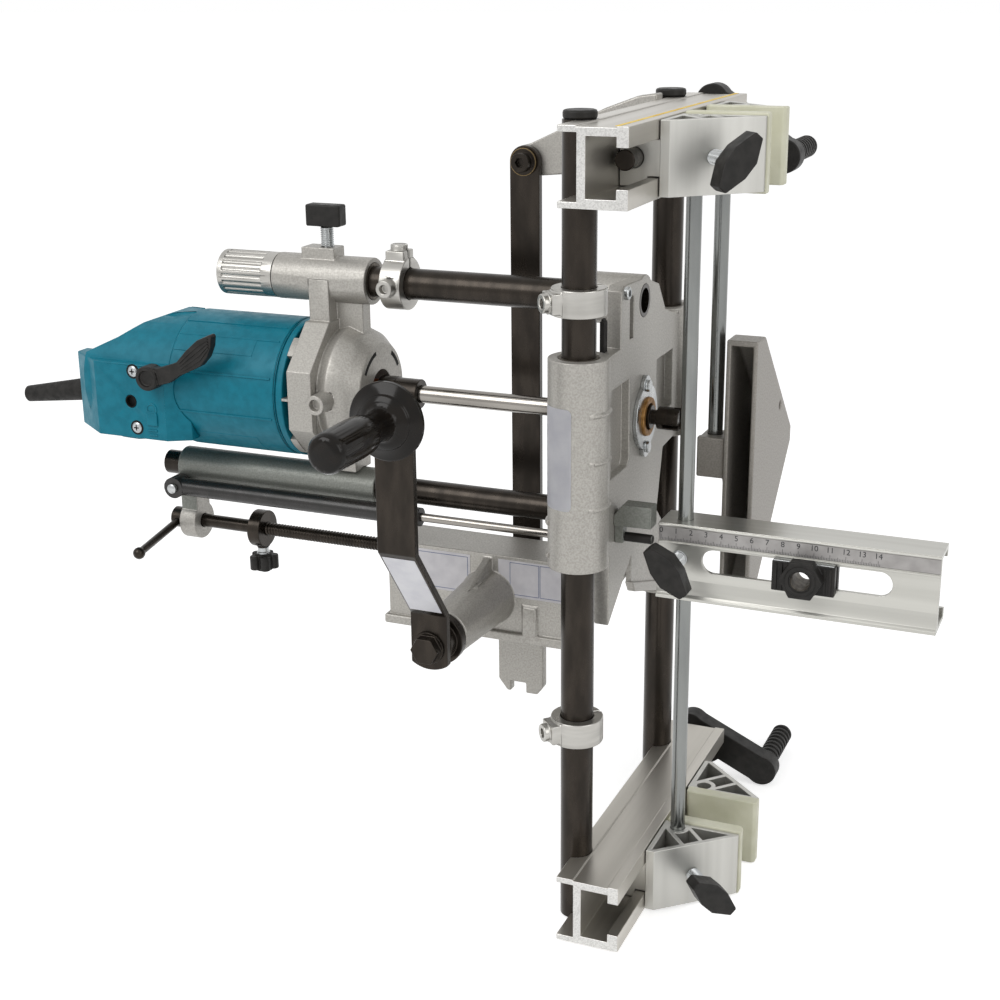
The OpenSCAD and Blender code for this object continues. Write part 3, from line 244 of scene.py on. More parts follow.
bare = add(tree, "ShaderNodeMix",
           {"Factor_Float": speckle.outputs[0], "A_Color": linear("#bcbbb8"),
            "B_Color": linear("#d0cfcc")}, data_type="RGBA")
drawn_colour = shader.inputs["Base Color"].links[0].from_socket
ends = add(tree, "ShaderNodeMix",
           {"Factor_Float": sawn.outputs[0], "A_Color": drawn_colour,
            "B_Color": bare.outputs[2]}, data_type="RGBA")
tree.links.new(ends.outputs[2], shader.inputs["Base Color"])
for node in ("upper_rail", "lower_rail"):
    rounded(node, rail_finish, bevel_mm=0.5)


# Sight line: a strip of yellow vinyl tape along the lip of the upper rail, by which the tool
# is set on the door. It is thin and half matt, stuck on the anodised metal.
# Places here and below are in millimetres.
def block(mesh, low, high):
    size = [(b - a) / 1000 for a, b in zip(low, high)]
    middle = [(a + b) / 2000 for a, b in zip(low, high)]
    bmesh.ops.create_cube(mesh, size=1,
                          matrix=Matrix.Translation(middle) @ Matrix.Diagonal(size + [1]))


rail_top = 265
tape_left, tape_right, tape_half = -8.4, -5.7, rail_half - 0.5
yellow_tape = surface("yellow_line_tape", "#efcf52", "#dfb83a", metallic=0.0, rough=0.5,
                      spots_mm=20, grain_mm=0.8, relief_mm=0.01)
line = bmesh.new()
block(line, (tape_left, -tape_half, rail_top - 0.05), (tape_right, tape_half, rail_top + 0.2))
piece("sight_line", line, "frame", yellow_tape, bevel_mm=0.08)


# Guide tubes: drawn steel tube, blackened and oiled, so it has a brown sheen with faint mottling.
# Each is set in the notches of both rails and closed at its top by a moulded nylon cap,
# which is a little matt and nearly black.
def paint(node, material):
    shape = frame["nodes"][node]
    shape.data.materials.clear()
    shape.data.materials.append(material)


black_steel = surface("blackened_steel_oiled", "#342e28", "#27221d", metallic=0.75, rough=0.28,
                      spots_mm=9, grain_mm=0.7, relief_mm=0.008, stretch=(1, 1, 0.3))
black_plastic = surface("moulded_black_nylon", "#252321", "#1b1a18", metallic=0.0, rough=0.48,
                        spots_mm=6, grain_mm=0.55, relief_mm=0.03, sheen_level=0.25)
paint("guide_tubes", black_steel)
rounded("tube_caps", black_plastic, bevel_mm=1.6)


# Drive bracket: an aluminium casting with silver hammer paint, bolted in the recess of the upper
# rail. Hammer paint dries in small rounded cells, so its gloss is broken up at about a millimetre.
# The connecting bar hangs from it on a blackened bolt with a turned brass washer.
def turned(mesh, origin, axis, outline, sides=48, closed=False, arc=None, zero=None):
    # The outline holds steps along the axis with their radii, and zero is where angles start.
    axis = Vector(axis).normalized()
    side = Vector(zero) if zero else axis.orthogonal().normalized()
    other = axis.cross(side)
    first, last = arc or (0, 360)
    count = sides + 1 if arc else sides
    rings = []
    for t, r in outline:
        centre = (Vector(origin) + axis * t) / 1000
        if r == 0:
            rings.append([mesh.verts.new(centre)])
            continue
        angles = (math.radians(first + (last - first) * i / sides) for i in range(count))
        rings.append([
            mesh.verts.new(centre + (side * math.cos(a) + other * math.sin(a)) * r / 1000)
            for a in angles])
    for low, high in zip(rings, rings[1:] + rings[:1] if closed else rings[1:]):
        for i in range(sides):
            j = (i + 1) % count
            corners = [low[i % len(low)], low[j % len(low)],
                       high[j % len(high)], high[i % len(high)]]
            mesh.faces.new(list(dict.fromkeys(corners)))
    if arc:
        mesh.faces.new([r[0] for r in rings])
        mesh.faces.new([r[-1] for r in rings])


def ring_outline(width, inner, outer):
    return [(0, inner), (0, outer), (width, outer), (width, inner)]


along_x, along_y, along_z, to_front = (1, 0, 0), (0, 1, 0), (0, 0, 1), (0, -1, 0)
crank_x = -135.5
washer_back, pivot_z = 48.4, 222
silver_cast = surface("silver_hammer_paint", "#adaaa4", "#9b9892", metallic=0.5, rough=0.42,
                      spots_mm=1.2, grain_mm=1.0, relief_mm=0.05)
rounded("drive_bracket", silver_cast, bevel_mm=1.4)
brass = surface("brass_washer_turned", "#857355", "#6b5b41", metallic=1.0, rough=0.34,
                spots_mm=4, grain_mm=0.5, relief_mm=0.01)
ring = bmesh.new()
turned(ring, (crank_x, washer_back, pivot_z), along_y,
       ring_outline(width=2.05, inner=8.9, outer=9.5), closed=True)
piece("pivot_washer", ring, "frame", brass, bevel_mm=0.15)
rounded("pivot_bolt", black_steel, bevel_mm=0.4)
rounded("connecting_bar", black_steel, bevel_mm=0.7)

# Stop collars: turned aluminium rings, clamped on the front tube by a socket screw each.
# The bright turned metal has fine lines round it. Zinc plate, on the screws and pins further on,
# is smooth and a little bluish.
zinc = surface("bright_zinc_plate", "#b6b8b8", "#a8abac", metallic=0.95, rough=0.27,
               spots_mm=14, grain_mm=0.6, relief_mm=0.006, stretch=(1, 1, 0.2))
collar_metal = surface("turned_aluminium", "#b5b3ae", "#a6a49f", metallic=0.9, rough=0.3,
                       spots_mm=6, grain_mm=0.45, relief_mm=0.012, stretch=(0.15, 0.15, 1))
for node in ("upper_stop_collar", "lower_stop_collar"):
    rounded(node, collar_metal, bevel_mm=0.8)

# Carriage: the main aluminium casting, with barrels on the tubes, a ribbed plate and the crank
# housing under it, all in silver hammer paint. Short ridges, left by the mould, stand on
# the front barrel.
tube_x, tube_y = -43, -88.5
ridge_root = 19


def ridge_outline(foot, crest, reach):
    return [(-foot, ridge_root), (-crest, reach), (crest, reach), (foot, ridge_root)]


rounded("carriage_casting", silver_cast, bevel_mm=0.8)
ridges = bmesh.new()
for z in (88.9, 58.6, 28.5):
    for reach, start in ((19.8, -50), (20.4, -40), (20.9, -28)):
        turned(ridges, (tube_x, tube_y, z), along_z, ridge_outline(1.9, 0.5, reach), sides=16,
               closed=True, arc=(start, 30), zero=along_x)
for z in (16.8, -4.6):
    turned(ridges, (tube_x, tube_y, z), along_z, ridge_outline(2.6, 0.8, 20.8), sides=16,
           closed=True, arc=(-190, -142), zero=along_x)
piece("barrel_ridges", ridges, "carriage", silver_cast, bevel_mm=0.3)
rounded("crank_housing", silver_cast, bevel_mm=1.5)

# Bushes and bars of the carriage: a zinc plated steel plate holds a bronze bush for the spindle.
# Sintered bronze and iron are matt and soaked with oil, and are pressed in. The guide bars are
# blackened, and the gas spring's rod is ground bright, so it mirrors in long streaks.
rounded("spindle_plate", zinc, bevel_mm=0.5)
bronze = surface("sintered_bronze", "#ad8350", "#8d6636", metallic=0.75, rough=0.48,
                 spots_mm=3, grain_mm=0.6, relief_mm=0.03)
bush_iron = surface("sintered_iron_oiled", "#6a6359", "#544e46", metallic=0.7, rough=0.45,
                    spots_mm=3, grain_mm=0.6, relief_mm=0.03)
for node in ("guide_bushes", "slide_bushes"):
    paint(node, bush_iron)
rounded("spindle_bush", bronze, bevel_mm=0.6)
for node in ("upper_guide_bar", "lower_guide_bar"):
    paint(node, black_steel)
bright_steel = surface("ground_bright_steel", "#96928c", "#827e79", metallic=1.0, rough=0.17,
                       spots_mm=7, grain_mm=0.4, relief_mm=0.005, stretch=(0.1, 1, 1))
paint("gas_spring_rod", bright_steel)

# Fittings of the carriage: a bracket in grey hammer paint with a nylon index pin, a moulded
# rubber bump stop and a zinc plated socket bolt, each screwed or pressed into the casting.
# The rubber is black and dull.
grey_cast = surface("grey_hammer_paint", "#83857f", "#747670", metallic=0.4, rough=0.42,
                    spots_mm=1.2, grain_mm=1.0, relief_mm=0.05)
rounded("index_bracket", grey_cast, bevel_mm=0.6)
rubber = surface("black_rubber_moulded", "#252321", "#1a1917", metallic=0.0, rough=0.62,
                 spots_mm=5, grain_mm=0.8, relief_mm=0.04, sheen_level=0.25)
bumper = bmesh.new()
block(bumper, (-40, -60, 118.4), (-36.8, -53.5, 139))
block(bumper, (-39.4, -59, 138.6), (-37.4, -54.5, 140.5))
piece("bump_stop", bumper, "carriage", rubber, bevel_mm=0.6)
pin = bmesh.new()
turned(pin, (-25, -52, -3.2), along_x,
       [(0, 2.9), (0, 3.15), (19.4, 3.15), (20.1, 2.5), (20.1, 0)], sides=32)
piece("index_pin", pin, "carriage", black_plastic)
bolt = bmesh.new()
turned(bolt, (-30, -40, 154), along_x,
       [(-0.2, 0), (-0.2, 4.2), (2.5, 4.2), (3, 3.7), (3, 2.2), (1, 2.2), (1, 0)], sides=32)
piece("plate_bolt", bolt, "carriage", zinc)

# Labels: plain vinyl stickers, left bare, on the front barrel and on the crank housing's face.
# The vinyl has a soft gloss and lies flat on the paint. The one on the barrel has rounded corners,
# and the greyer ones on the housing have thin blue rules round their edge.
vinyl = surface("white_vinyl_sticker", "#e6e6ea", "#dcdce2", metallic=0.0, rough=0.4,
                spots_mm=12, grain_mm=1.2, relief_mm=0.01)
# The labels on the housing are a darker grey than the one on the barrel.
grey_vinyl = surface("grey_vinyl_sticker", "#c9c7ca", "#bdbbbf", metallic=0.0, rough=0.42,
                     spots_mm=10, grain_mm=1.2, relief_mm=0.01)
rule_ink = surface("blue_rule_ink", "#67718f", "#5b6684", metallic=0.0, rough=0.5,
                   spots_mm=4, grain_mm=0.8, relief_mm=0.005)
label_r, label_start, label_sweep, label_steps = 19.5, -164, 81, 16
label_thick = 0.2
label = bmesh.new()
label_rows = []
for z, trim in ((28.3, 8), (28.9, 4), (30.8, 0), (91.2, 0), (93.1, 4), (93.7, 8)):
    row = []
    for i in range(label_steps + 1):
        a = math.radians(label_start + trim + (label_sweep - 2 * trim) * i / label_steps)
        row.append(label.verts.new(((tube_x + label_r * math.cos(a)) / 1000,
                                    (tube_y + label_r * math.sin(a)) / 1000, z / 1000)))
    label_rows.append(row)
for low_row, high_row in zip(label_rows, label_rows[1:]):
    for low, high in zip(zip(low_row, low_row[1:]), zip(high_row, high_row[1:])):
        label.faces.new((low[0], low[1], high[1], high[0]))
bmesh.ops.solidify(label, geom=label.faces[:], thickness=label_thick / 1000)
piece("barrel_label", label, "carriage", vinyl)
label_back, label_front = -20.4, -20.75
label = bmesh.new()
for left, foot, end, top in ((-206, -73, -149, -43.5), (-127.5, -70.5, -64, -43.5)):
    block(label, (left, label_front, foot), (end, label_back, top))
piece("housing_labels", label, "carriage", grey_vinyl, bevel_mm=0.1)


def bead(mesh, points, half, back, front):
    # A flat-topped bead along points of X and Z, from the depth back to the depth front.
    rows = []
    for i, point in enumerate(points):
        run = Vector(points[min(i + 1, len(points) - 1)]) - Vector(points[max(i - 1, 0)])
        side = Vector((-run.y, run.x)).normalized() * half
        rows.append([mesh.verts.new(((point[0] + s * side.x) / 1000, y / 1000,
                                     (point[1] + s * side.y) / 1000))
                     for s, y in ((-1, back), (-1, front), (1, front), (1, back))])
    for low, high in zip(rows, rows[1:]):
        for i in range(4):
            mesh.faces.new((low[i], low[(i + 1) % 4], high[(i + 1) % 4], high[i]))
    mesh.faces.new(rows[0])
    mesh.faces.new(rows[-1])


rules = bmesh.new()
for x0, x1, z0, z1 in ((-204, -151, -71, -45.5), (-118.5, -97, -68.5, -45),
                       (-96, -75, -68.5, -45)):
    rule_corners = ((x0, z0), (x1, z0), (x1, z1), (x0, z1))
    for start, end in zip(rule_corners, rule_corners[1:] + rule_corners[:1]):
        bead(rules, (start, end), half=0.2, back=-20.6, front=-20.85)
piece("label_rules", rules, "carriage", rule_ink)

# Crank: a cranked bar of blackened flat steel on the spindle, with a turning grip of polished
# phenolic, whose polish shows sharp bright reflections on near-black. The inner lever is
# a painted casting, and a bare sticker lies on the slope of the arm.
for node, bevel_mm in (("crank_spindle", 0.6), ("crank_arm", 0.9), ("crank_bolt", 0.5)):
    rounded(node, black_steel, bevel_mm)
rounded("crank_lever", silver_cast, bevel_mm=1.2)
gloss_black = surface("polished_black_phenolic", "#17120d", "#0f0c09", metallic=0.0, rough=0.16,
                      spots_mm=10, grain_mm=1.5, relief_mm=0.008, coat=0.08, sheen_level=0.16)
rounded("crank_grip", gloss_black, bevel_mm=0, corner=25)
slope = Vector((0, -43, 56)).normalized()
outward = Vector((0, -56, -43)).normalized()
slope_foot = Vector((crank_x, -118, -50))
sticker_half = 11.3
label = bmesh.new()
for lift_mm in (-0.05, 0.3):
    for t in (5, 66):
        for x in (-sticker_half, sticker_half):
            corner_place = slope_foot + slope * t + outward * lift_mm + Vector((x, 0, 0))
            label.verts.new(corner_place / 1000)
label.verts.ensure_lookup_table()
for corners in ((0, 1, 3, 2), (4, 6, 7, 5), (0, 4, 5, 1), (2, 3, 7, 6), (0, 2, 6, 4),
                (1, 5, 7, 3)):
    label.faces.new([label.verts[i] for i in corners])
piece("crank_label", label, "crank", vinyl, bevel_mm=0.08)

# Motor flange: a silver painted casting that holds the motor, the upper barrel and the lower
# barrel, which is grey above its lug and lighter silver from the lug down. Ears and thin pins
# bridge the air gap to the motor, and two slots in the dome let the air out. Near-black sheets
# in the gap and in the slots are painted shade.
motor_z = 62
dome_z = 64
lug_top = -33
rounded("motor_flange", silver_cast, bevel_mm=0.8)
barrel = rounded("lower_barrel", grey_cast, bevel_mm=1.0)
# Faces below the lug's top take the lighter silver material, so the barrel is lighter from the lug
# down.
barrel.data.materials.append(silver_cast)
for face in barrel.data.polygons:
    if face.center.z < lug_top / 1000:
        face.material_index = 1
# Painted shade: near-black sheets stand for the shade inside the motor's air gap, the dome's slots
# and the cover's recesses.
painted_gap_shade = surface("vent_shadow_black", "#151514", "#0e0e0d", metallic=0.0, rough=0.7,
                     spots_mm=6, grain_mm=1.0, relief_mm=0.02, sheen_level=0.2)
ring = bmesh.new()
turned(ring, (-278.05, 0, motor_z), along_x, ring_outline(width=5, inner=41.8, outer=42.6),
       sides=64, closed=True)
piece("vent_gap_painted_shade", ring, "motor", painted_gap_shade)
slots = bmesh.new()
for arc in ((14, 56), (-64, -34)):
    turned(slots, (-225.6, 0, dome_z), along_x, ring_outline(width=0.7, inner=27.6, outer=30.6),
           sides=16, closed=True, arc=arc, zero=along_z)
piece("dome_slot_painted_shade", slots, "motor", painted_gap_shade)
ears = bmesh.new()
for arc in ((34, 52), (86.8, 89.2), (126, 148), (-52, -34), (-89.2, -86.8), (-148, -126)):
    turned(ears, (-278.2, 0, 62.4), along_x, ring_outline(width=5.4, inner=42, outer=50.2),
           sides=8, closed=True, arc=arc, zero=along_z)
piece("flange_ears", ears, "motor", silver_cast, bevel_mm=0.4)

# Motor housing: teal glass-filled nylon, moulded with a fine spark texture, so it is half matt
# and even in colour. Raised ribs run along it, and low pads lie between some of them.
# The switch housing is of the same nylon, screwed on behind.
teal = surface("teal_moulded_nylon", "#0c7488", "#096a7d", metallic=0.0, rough=0.42,
               spots_mm=7, grain_mm=0.9, relief_mm=0.03, sheen_level=0.22)
rounded("motor_housing", teal, bevel_mm=1.0)
rounded("switch_housing", teal, bevel_mm=1.0)
rib_left, rib_root, rib_half_angle = -371, 49.4, 0.8
ribs = bmesh.new()
for middle, rib_right, crest in ((23, -288, 50.5), (39, -288, 50.5), (54, -306, 50.5),
                                 (72, -288, 50.9), (106, -288, 50.7)):
    for angle in (middle, -middle):
        turned(ribs, (rib_left, 0, motor_z), along_x,
               ring_outline(rib_right - rib_left, rib_root, crest), sides=2, closed=True,
               arc=(angle - rib_half_angle, angle + rib_half_angle), zero=along_z)
for arc in ((39, 54), (-54, -39), (128, 150), (-150, -128)):
    turned(ribs, (rib_left, 0, motor_z), along_x, ring_outline(65, rib_root, 50.25), sides=10,
           closed=True, arc=arc, zero=along_z)
piece("motor_ribs", ribs, "motor", teal, bevel_mm=0.2)

# Switch lever and cable boot: a moulded nylon leaf on a pin in the switch housing, with thin
# ridges along the leaf and a raised ring on its hub. The boot is moulded in black rubber
# and pressed into the housing's rear wall.
rounded("switch_lever", black_plastic, bevel_mm=1.0)
leaf_top = [Vector(p) for p in ((-352, 89.5), (-346, 96), (-336, 104.5), (-326.5, 108.8))]
leaf_low = [Vector(p) for p in ((-350, 79), (-342, 82.6), (-333, 87.6), (-326, 98))]
grooves = bmesh.new()
for share in (0.22, 0.41, 0.6, 0.79):
    bead(grooves, [a.lerp(b, share) for a, b in zip(leaf_top, leaf_low)],
         half=0.6, back=-63.7, front=-64.5)
turned(grooves, (-379, -65.6, 74), to_front, [(0, 5.6), (0, 8.6), (0.8, 8.2), (0.8, 6)],
       sides=40, closed=True)
piece("lever_ridges", grooves, "switch", black_plastic)
paint("cable_boot", rubber)

# Fittings of the switch housing: two zinc plated screws with cross recesses, a socket between
# them, and low moulded pads of the same teal nylon. Near-black rings round the screws, crosses
# in their recesses and a cup in the socket are painted shade.
cover_y = -54
screw_x, screw_levels = -398.2, (75.2, 33.3)
recess_half, recess_reach = 0.45, 2
screws = bmesh.new()
for z in screw_levels:
    turned(screws, (screw_x, cover_y, z), to_front,
           [(-0.4, 0), (-0.4, 4), (0.5, 4), (1.2, 3.1), (1.2, 0)], sides=32)
piece("cover_screws", screws, "motor", zinc)
# Painted shade: near-black rings, crosses and a cup in the screw recesses and the socket.
marks = bmesh.new()
for z in screw_levels:
    turned(marks, (screw_x, -53.9, z), to_front, ring_outline(width=0.25, inner=4.1, outer=5.4),
           sides=32, closed=True)
    for half_x, half_z in ((recess_reach, recess_half), (recess_half, recess_reach)):
        block(marks, (screw_x - half_x, -55.3, z - half_z), (screw_x + half_x, -55.1, z + half_z))
turned(marks, (-402, -50, 52.5), to_front,
       [(-0.1, 0), (-0.1, 4.57), (3.9, 4.57), (3.9, 4.1), (0.4, 4.1), (0.4, 0)], sides=32)
piece("cover_recess_painted_shade", marks, "motor", painted_gap_shade)
pad_back = -53.6
pad = bmesh.new()
turned(pad, (-384.4, pad_back, 48.4), to_front,
       [(0, 0), (0, 4.8), (1.1, 4.5), (1.1, 3.2), (0.7, 2.8), (0.7, 0)], sides=32)
block(pad, (-389, -55.2, 36), (-379.8, pad_back, 45.6))
for z in (28.2, 31.6, 45.2):
    block(pad, (-388.2, -54.8, z), (-380.6, pad_back, z + 1.5))
piece("cover_pad", pad, "motor", teal, bevel_mm=0.5)

# Works of the motor: a varnished stack of steel laminations as field, an armature wound with
# enamelled copper, ball bearings and pressed carbon brushes, all inside the housings.
# The stack is dark and finely lined, the copper warm and glossy, the carbon dull.
lamination = surface("varnished_lamination_steel", "#4a4744", "#393634", metallic=0.6, rough=0.5,
                     spots_mm=4, grain_mm=0.6, relief_mm=0.03, stretch=(4, 1, 1))
winding = surface("enamelled_copper_winding", "#9a5a34", "#7a4023", metallic=0.7, rough=0.4,
                  spots_mm=3, grain_mm=0.7, relief_mm=0.05)
carbon = surface("pressed_carbon", "#2c2b2b", "#1f1f1f", metallic=0.1, rough=0.6,
                 spots_mm=3, grain_mm=0.5, relief_mm=0.02)
for node, finish in (("field_core", lamination), ("armature", winding),
                     ("motor_bearings", bright_steel), ("carbon_brushes", carbon)):
    paint(node, finish)

# Cutter: a ground steel shaft, held by a blackened collet nut on the motor's spindle.
# Its two-wing head is blackened too, and screwed on the shaft's end.
paint("cutter_shaft", bright_steel)
rounded("cutter_head", black_steel, bevel_mm=0.4)
rounded("collet_nut", black_steel, bevel_mm=0.5)

# Upper barrel's end sleeve, plunge lock and plunge collar: turned and fluted aluminium,
# and a moulded nylon knob. The knob's stud has a zinc plated thread, screwed into the barrel.
rounded("fluted_sleeve", collar_metal, bevel_mm=0.35)
rounded("plunge_collar", collar_metal, bevel_mm=0.8)
rounded("lock_knob", black_plastic, bevel_mm=1.4)


def thread(mesh, origin, axis, length, root, crest, pitch, sides=32, steps=8):
    axis = Vector(axis).normalized()
    side = axis.orthogonal().normalized()
    other = axis.cross(side)
    rings = []
    for k in range(int(length / pitch * steps) + 1):
        t = k * pitch / steps
        row = []
        for i in range(sides):
            wave = abs(((t / pitch - i / sides) % 1) * 2 - 1)
            r = root + (crest - root) * min(1, max(0, 1.8 * wave - 0.4))
            a = 2 * math.pi * i / sides
            spoke = side * math.cos(a) + other * math.sin(a)
            row.append(mesh.verts.new((Vector(origin) + axis * t + spoke * r) / 1000))
        rings.append(row)
    for low, high in zip(rings, rings[1:]):
        for i in range(sides):
            j = (i + 1) % sides
            mesh.faces.new((low[i], low[j], high[j], high[i]))
    mesh.faces.new(rings[0])
    mesh.faces.new(rings[-1])


stud_root, stud_crest = 4.02, 4.75
stud = bmesh.new()
thread(stud, (-264, 0, 164.6), along_z, 14.3, stud_root, stud_crest, pitch=1.5)
piece("lock_stud_thread", stud, "lock", zinc)

# Gas spring: a drawn steel cylinder in black enamel, which is smooth with a soft gloss.
# It hangs on a zinc plated pin in the lug of the lower barrel.
black_enamel = surface("black_enamel", "#2b2928", "#21201e", metallic=0.2, rough=0.28,
                       spots_mm=9, grain_mm=0.9, relief_mm=0.006)
paint("gas_spring_cylinder", black_enamel)
pin = bmesh.new()
turned(pin, (-389, -29.6, -19.7), to_front,
       [(0, 0), (0, 3.6), (1.2, 3.6), (2.0, 2.4), (2.0, 0)], sides=32)
piece("gas_spring_pin", pin, "motor", zinc)

# Depth screw: rolled thread on a blackened steel bar, with a tommy lever through its head.
# The thread's crests catch the light, so each turn is modelled. A blackened nut runs on it,
# held by a nylon knob with a zinc plated stud.
depth_z = -53
lever_lean = math.radians(9.5)
lever_way = Vector((0, -math.cos(lever_lean), -math.sin(lever_lean)))
screw = bmesh.new()
turned(screw, (-396, 0, depth_z), along_x,
       [(-12, 0), (-12, 7.2), (-11.2, 8), (-1.3, 8), (-0.5, 7.2), (-0.5, 5), (70, 5), (70, 0)],
       sides=32)
thread(screw, (-326.5, 0, depth_z), along_x, 116, root=4.25, crest=4.98, pitch=2.5)
turned(screw, (-402, 0, depth_z), lever_way,
       [(-9, 0), (-9, 2.6), (-8.6, 3), (56, 3), (56.6, 3.2), (58, 4.2), (60, 4.6),
        (62, 4.2), (63.8, 2.6), (64.6, 0)], sides=32)
threaded = piece("depth_screw_threaded", screw, "depth_drive", black_steel)
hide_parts("depth_screw")
rounded("depth_nut", black_steel, bevel_mm=0.6)
rounded("depth_knob", black_plastic, bevel_mm=0.9)
stud = bmesh.new()
turned(stud, (-331, 0, -73), along_z,
       [(0, 3.02), (0, 5), (1.4, 5), (1.8, 4.2), (4.85, 4.2), (4.85, 3.02)], sides=32, closed=True)
piece("depth_knob_stud", stud, "depth_lock", zinc)

# Clamp screws and their cranks: blackened steel screws that lie in the rails' channels.
# Each is turned by a moulded nylon crank with a ribbed grip, pinned on its rear end.
for node in ("upper_clamp_screw", "lower_clamp_screw"):
    rounded(node, black_steel, bevel_mm=0.8)
for node in ("upper_clamp_crank", "lower_clamp_crank"):
    rounded(node, black_plastic, bevel_mm=0.9)

# Jaws: hollow aluminium extrusions, cut to length, with glued pads of pale polyurethane.
# Extrusion lines run along Z, and the pads are matt with faint scuffs.
jaw_finish = surface("anodised_aluminium_jaw", "#c0bfba", "#b4b3ae", metallic=0.85, rough=0.4,
                     spots_mm=14, grain_mm=0.5, relief_mm=0.012, stretch=(1, 1, 0.03))
pad_finish = surface("pale_polyurethane", "#d6d5c0", "#cbcab2", metallic=0.0, rough=0.5,
                     spots_mm=18, grain_mm=1.0, relief_mm=0.03)
for node in ("front_jaws", "rear_jaws"):
    rounded(node, jaw_finish, bevel_mm=0.4)
for node in ("front_pads", "rear_pads"):
    rounded(node, pad_finish, bevel_mm=0.9)

# Wing knobs and rods: moulded nylon wings on zinc plated studs, screwed into the front jaws.
# They lock the rods, which are drawn steel, zinc plated, so they are bright with faint streaks
# along their length.
for node in ("upper_wing_knob", "lower_wing_knob"):
    rounded(node, black_plastic, bevel_mm=0.9)
rod_x, rod_y, jaw_level = 11, -32.5, 241.5
stud_slant = math.radians(42.09)
stud_way = Vector((math.sin(stud_slant), -math.cos(stud_slant), 0))
stud_start, stud_length = 25.9, 19.3
for body, z in (("upper_wing", jaw_level), ("lower_wing", -jaw_level)):
    stud = bmesh.new()
    thread(stud, Vector((rod_x, rod_y, z)) + stud_way * stud_start, stud_way, stud_length,
           stud_root, stud_crest, pitch=1.25)
    piece(body + "_stud", stud, body, zinc)
rod_zinc = surface("zinc_plated_drawn_rod", "#858785", "#787a79", metallic=0.95, rough=0.23,
                   spots_mm=14, grain_mm=0.6, relief_mm=0.006, stretch=(1, 1, 0.2))
for node in ("front_rod", "rear_rod"):
    rounded(node, rod_zinc, bevel_mm=0.7)

# Gauge: an anodised aluminium channel on the front rod, with fine lines along its length
# and two low ridges beside its scale. A nylon knob with a zinc plated stud and washer
# locks it on the rod.
gauge_z = -16
gauge_finish = surface("anodised_aluminium_gauge", "#bdbcb6", "#b0afa9", metallic=0.88, rough=0.34,
                       spots_mm=14, grain_mm=0.5, relief_mm=0.012, stretch=(0.03, 1, 1))
rounded("gauge_rail", gauge_finish, bevel_mm=0.3, corner=12)
rounded("gauge_knob", black_plastic, bevel_mm=0.9)
trim = bmesh.new()
for z in (-6.2, 5.8):
    bead(trim, [(-3.3, z), (176.3, z)], half=0.7, back=-44.7, front=-45.6)
piece("gauge_ridges", trim, "gauge", gauge_finish, bevel_mm=0.4)
stud = bmesh.new()
turned(stud, (rod_x, -45.25, gauge_z), to_front,
       [(0, stud_root), (0, 5.4), (1.2, 5.4), (1.6, 4.6), (1.6, stud_root)], sides=32, closed=True)
thread(stud, (rod_x, -46.6, gauge_z), to_front, 15, stud_root, stud_crest, pitch=1.25)
piece("gauge_knob_stud", stud, "gauge_lock", zinc)

# Drill slider: a moulded nylon block that slides in the gauge's slot, with a sintered iron bush
# for the drill. A rim stands round the bush, ridges at both ends give grip, and a zinc plated
# strip guides its upper edge.
bush_x, bore_r = 93.3, 6.1
slider = rounded("drill_slider", black_plastic, bevel_mm=0.7)
slider.data.materials.append(bush_iron)
for face in slider.data.polygons:
    off_axis = math.hypot(face.center.x - bush_x / 1000, face.center.z - gauge_z / 1000)
    if off_axis < bore_r / 1000 and abs(face.normal.y) < 0.3:
        face.material_index = 1
rim = bmesh.new()
turned(rim, (bush_x, -58.9, gauge_z), to_front, [(0, 6.9), (0, 10), (0.9, 9.4), (0.9, 7.4)],
       sides=40, closed=True)
for x in (76, 79.5, 107, 110.5):
    block(rim, (x - 0.8, -51.8, -26.4), (x + 0.8, -50.9, -8.4))
piece("slider_rim", rim, "gauge_slider", black_plastic, bevel_mm=0.2)
edge = bmesh.new()
block(edge, (74, -50.6, -7.05), (112.6, -46.1, -6.4))
piece("slider_edge", edge, "gauge_slider", zinc, bevel_mm=0.2)

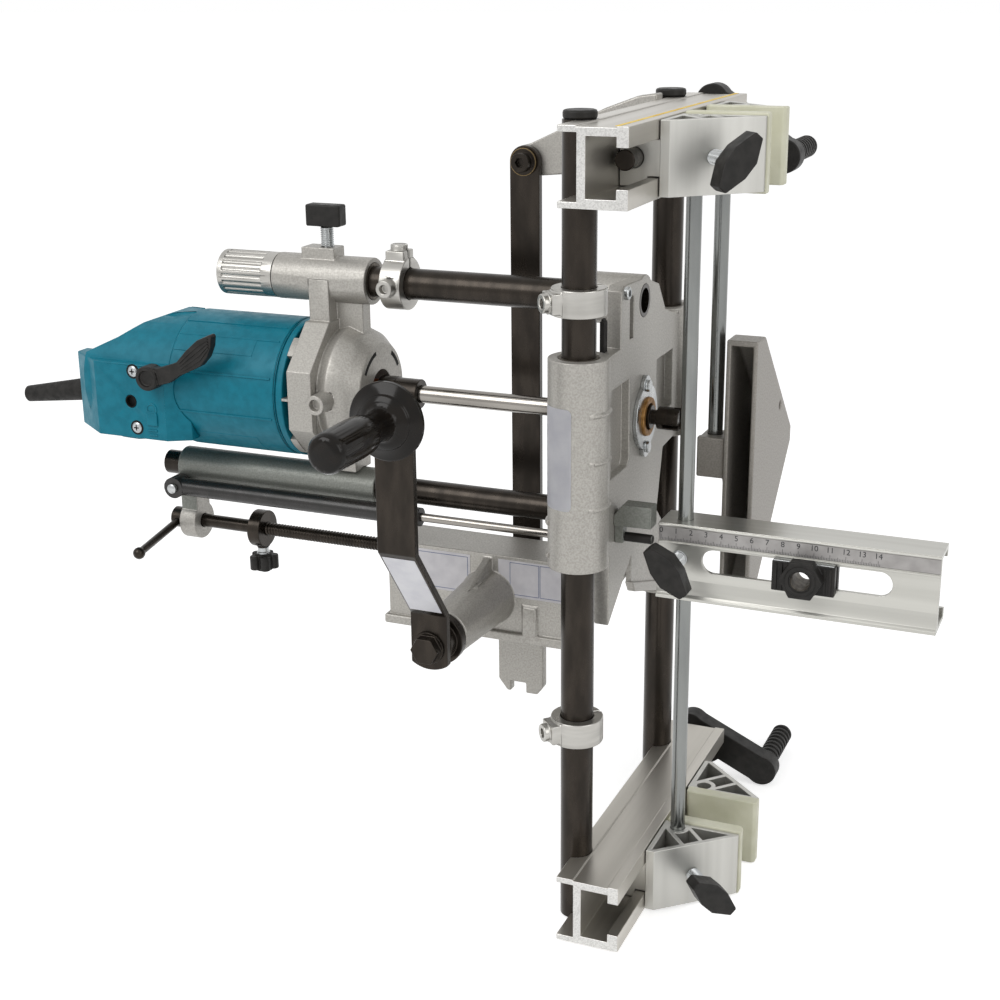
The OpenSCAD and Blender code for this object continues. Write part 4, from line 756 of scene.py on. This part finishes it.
# Scale: a strip of printed film, stuck on the gauge between its ridges. The film is pale grey
# with a faint metal sheen, and the ink is a dull black.
# It has a mark for each millimetre and a plain figure for each centimetre.
film = surface("printed_scale_film", "#a6a3a1", "#999694", metallic=0.25, rough=0.4,
               spots_mm=9, grain_mm=0.8, relief_mm=0.01)
ink = surface("black_scale_ink", "#2e2f31", "#242527", metallic=0.0, rough=0.5,
              spots_mm=5, grain_mm=0.8, relief_mm=0.01)
strip = bmesh.new()
block(strip, (-3.2, -44.8, -4.8), (176.2, -44.35, 4.5))
piece("scale_strip", strip, "gauge", film, bevel_mm=0.05)
scale_zero, last_mark, last_figure = -1.7, 141, 14
mark_half, mark_foot = 0.12, -4.7
ticks = bmesh.new()
for i in range(last_mark + 1):
    x = scale_zero + i
    tall = 3.6 if i % 10 == 0 else 2.6 if i % 5 == 0 else 1.6
    block(ticks, (x - mark_half, -44.9, mark_foot), (x + mark_half, -44.75, mark_foot + tall))
piece("scale_ticks", ticks, "gauge", ink)
figures = bmesh.new()
for i in range(last_figure + 1):
    text = bpy.data.curves.new("figure", "FONT")
    text.body = str(i)
    text.size = 0.0052
    text.extrude = 0.00008
    text.align_x = "CENTER"
    word = bpy.data.objects.new("figure", text)
    bpy.context.scene.collection.objects.link(word)
    bpy.context.view_layer.update()
    solid = word.evaluated_get(bpy.context.evaluated_depsgraph_get()).to_mesh()
    figure_place = ((scale_zero + 10 * i) / 1000, -0.04482, 0.0003)
    solid.transform(Matrix.Translation(figure_place) @ Matrix.Rotation(math.pi / 2, 4, "X"))
    figures.from_mesh(solid)
    bpy.data.objects.remove(word)
    bpy.data.curves.remove(text)
piece("scale_figures", figures, "gauge", ink)

# Backing plate: a grey painted aluminium casting, hollow towards the door, on the rear rod.
# It keeps the far face of the door from splintering, and its paint is half matt with small cells.
backing_paint = surface("grey_backing_paint", "#96918a", "#88847e", metallic=0.35, rough=0.45,
                        spots_mm=1.2, grain_mm=1.0, relief_mm=0.05)
rounded("backing_plate", backing_paint, bevel_mm=1.2)
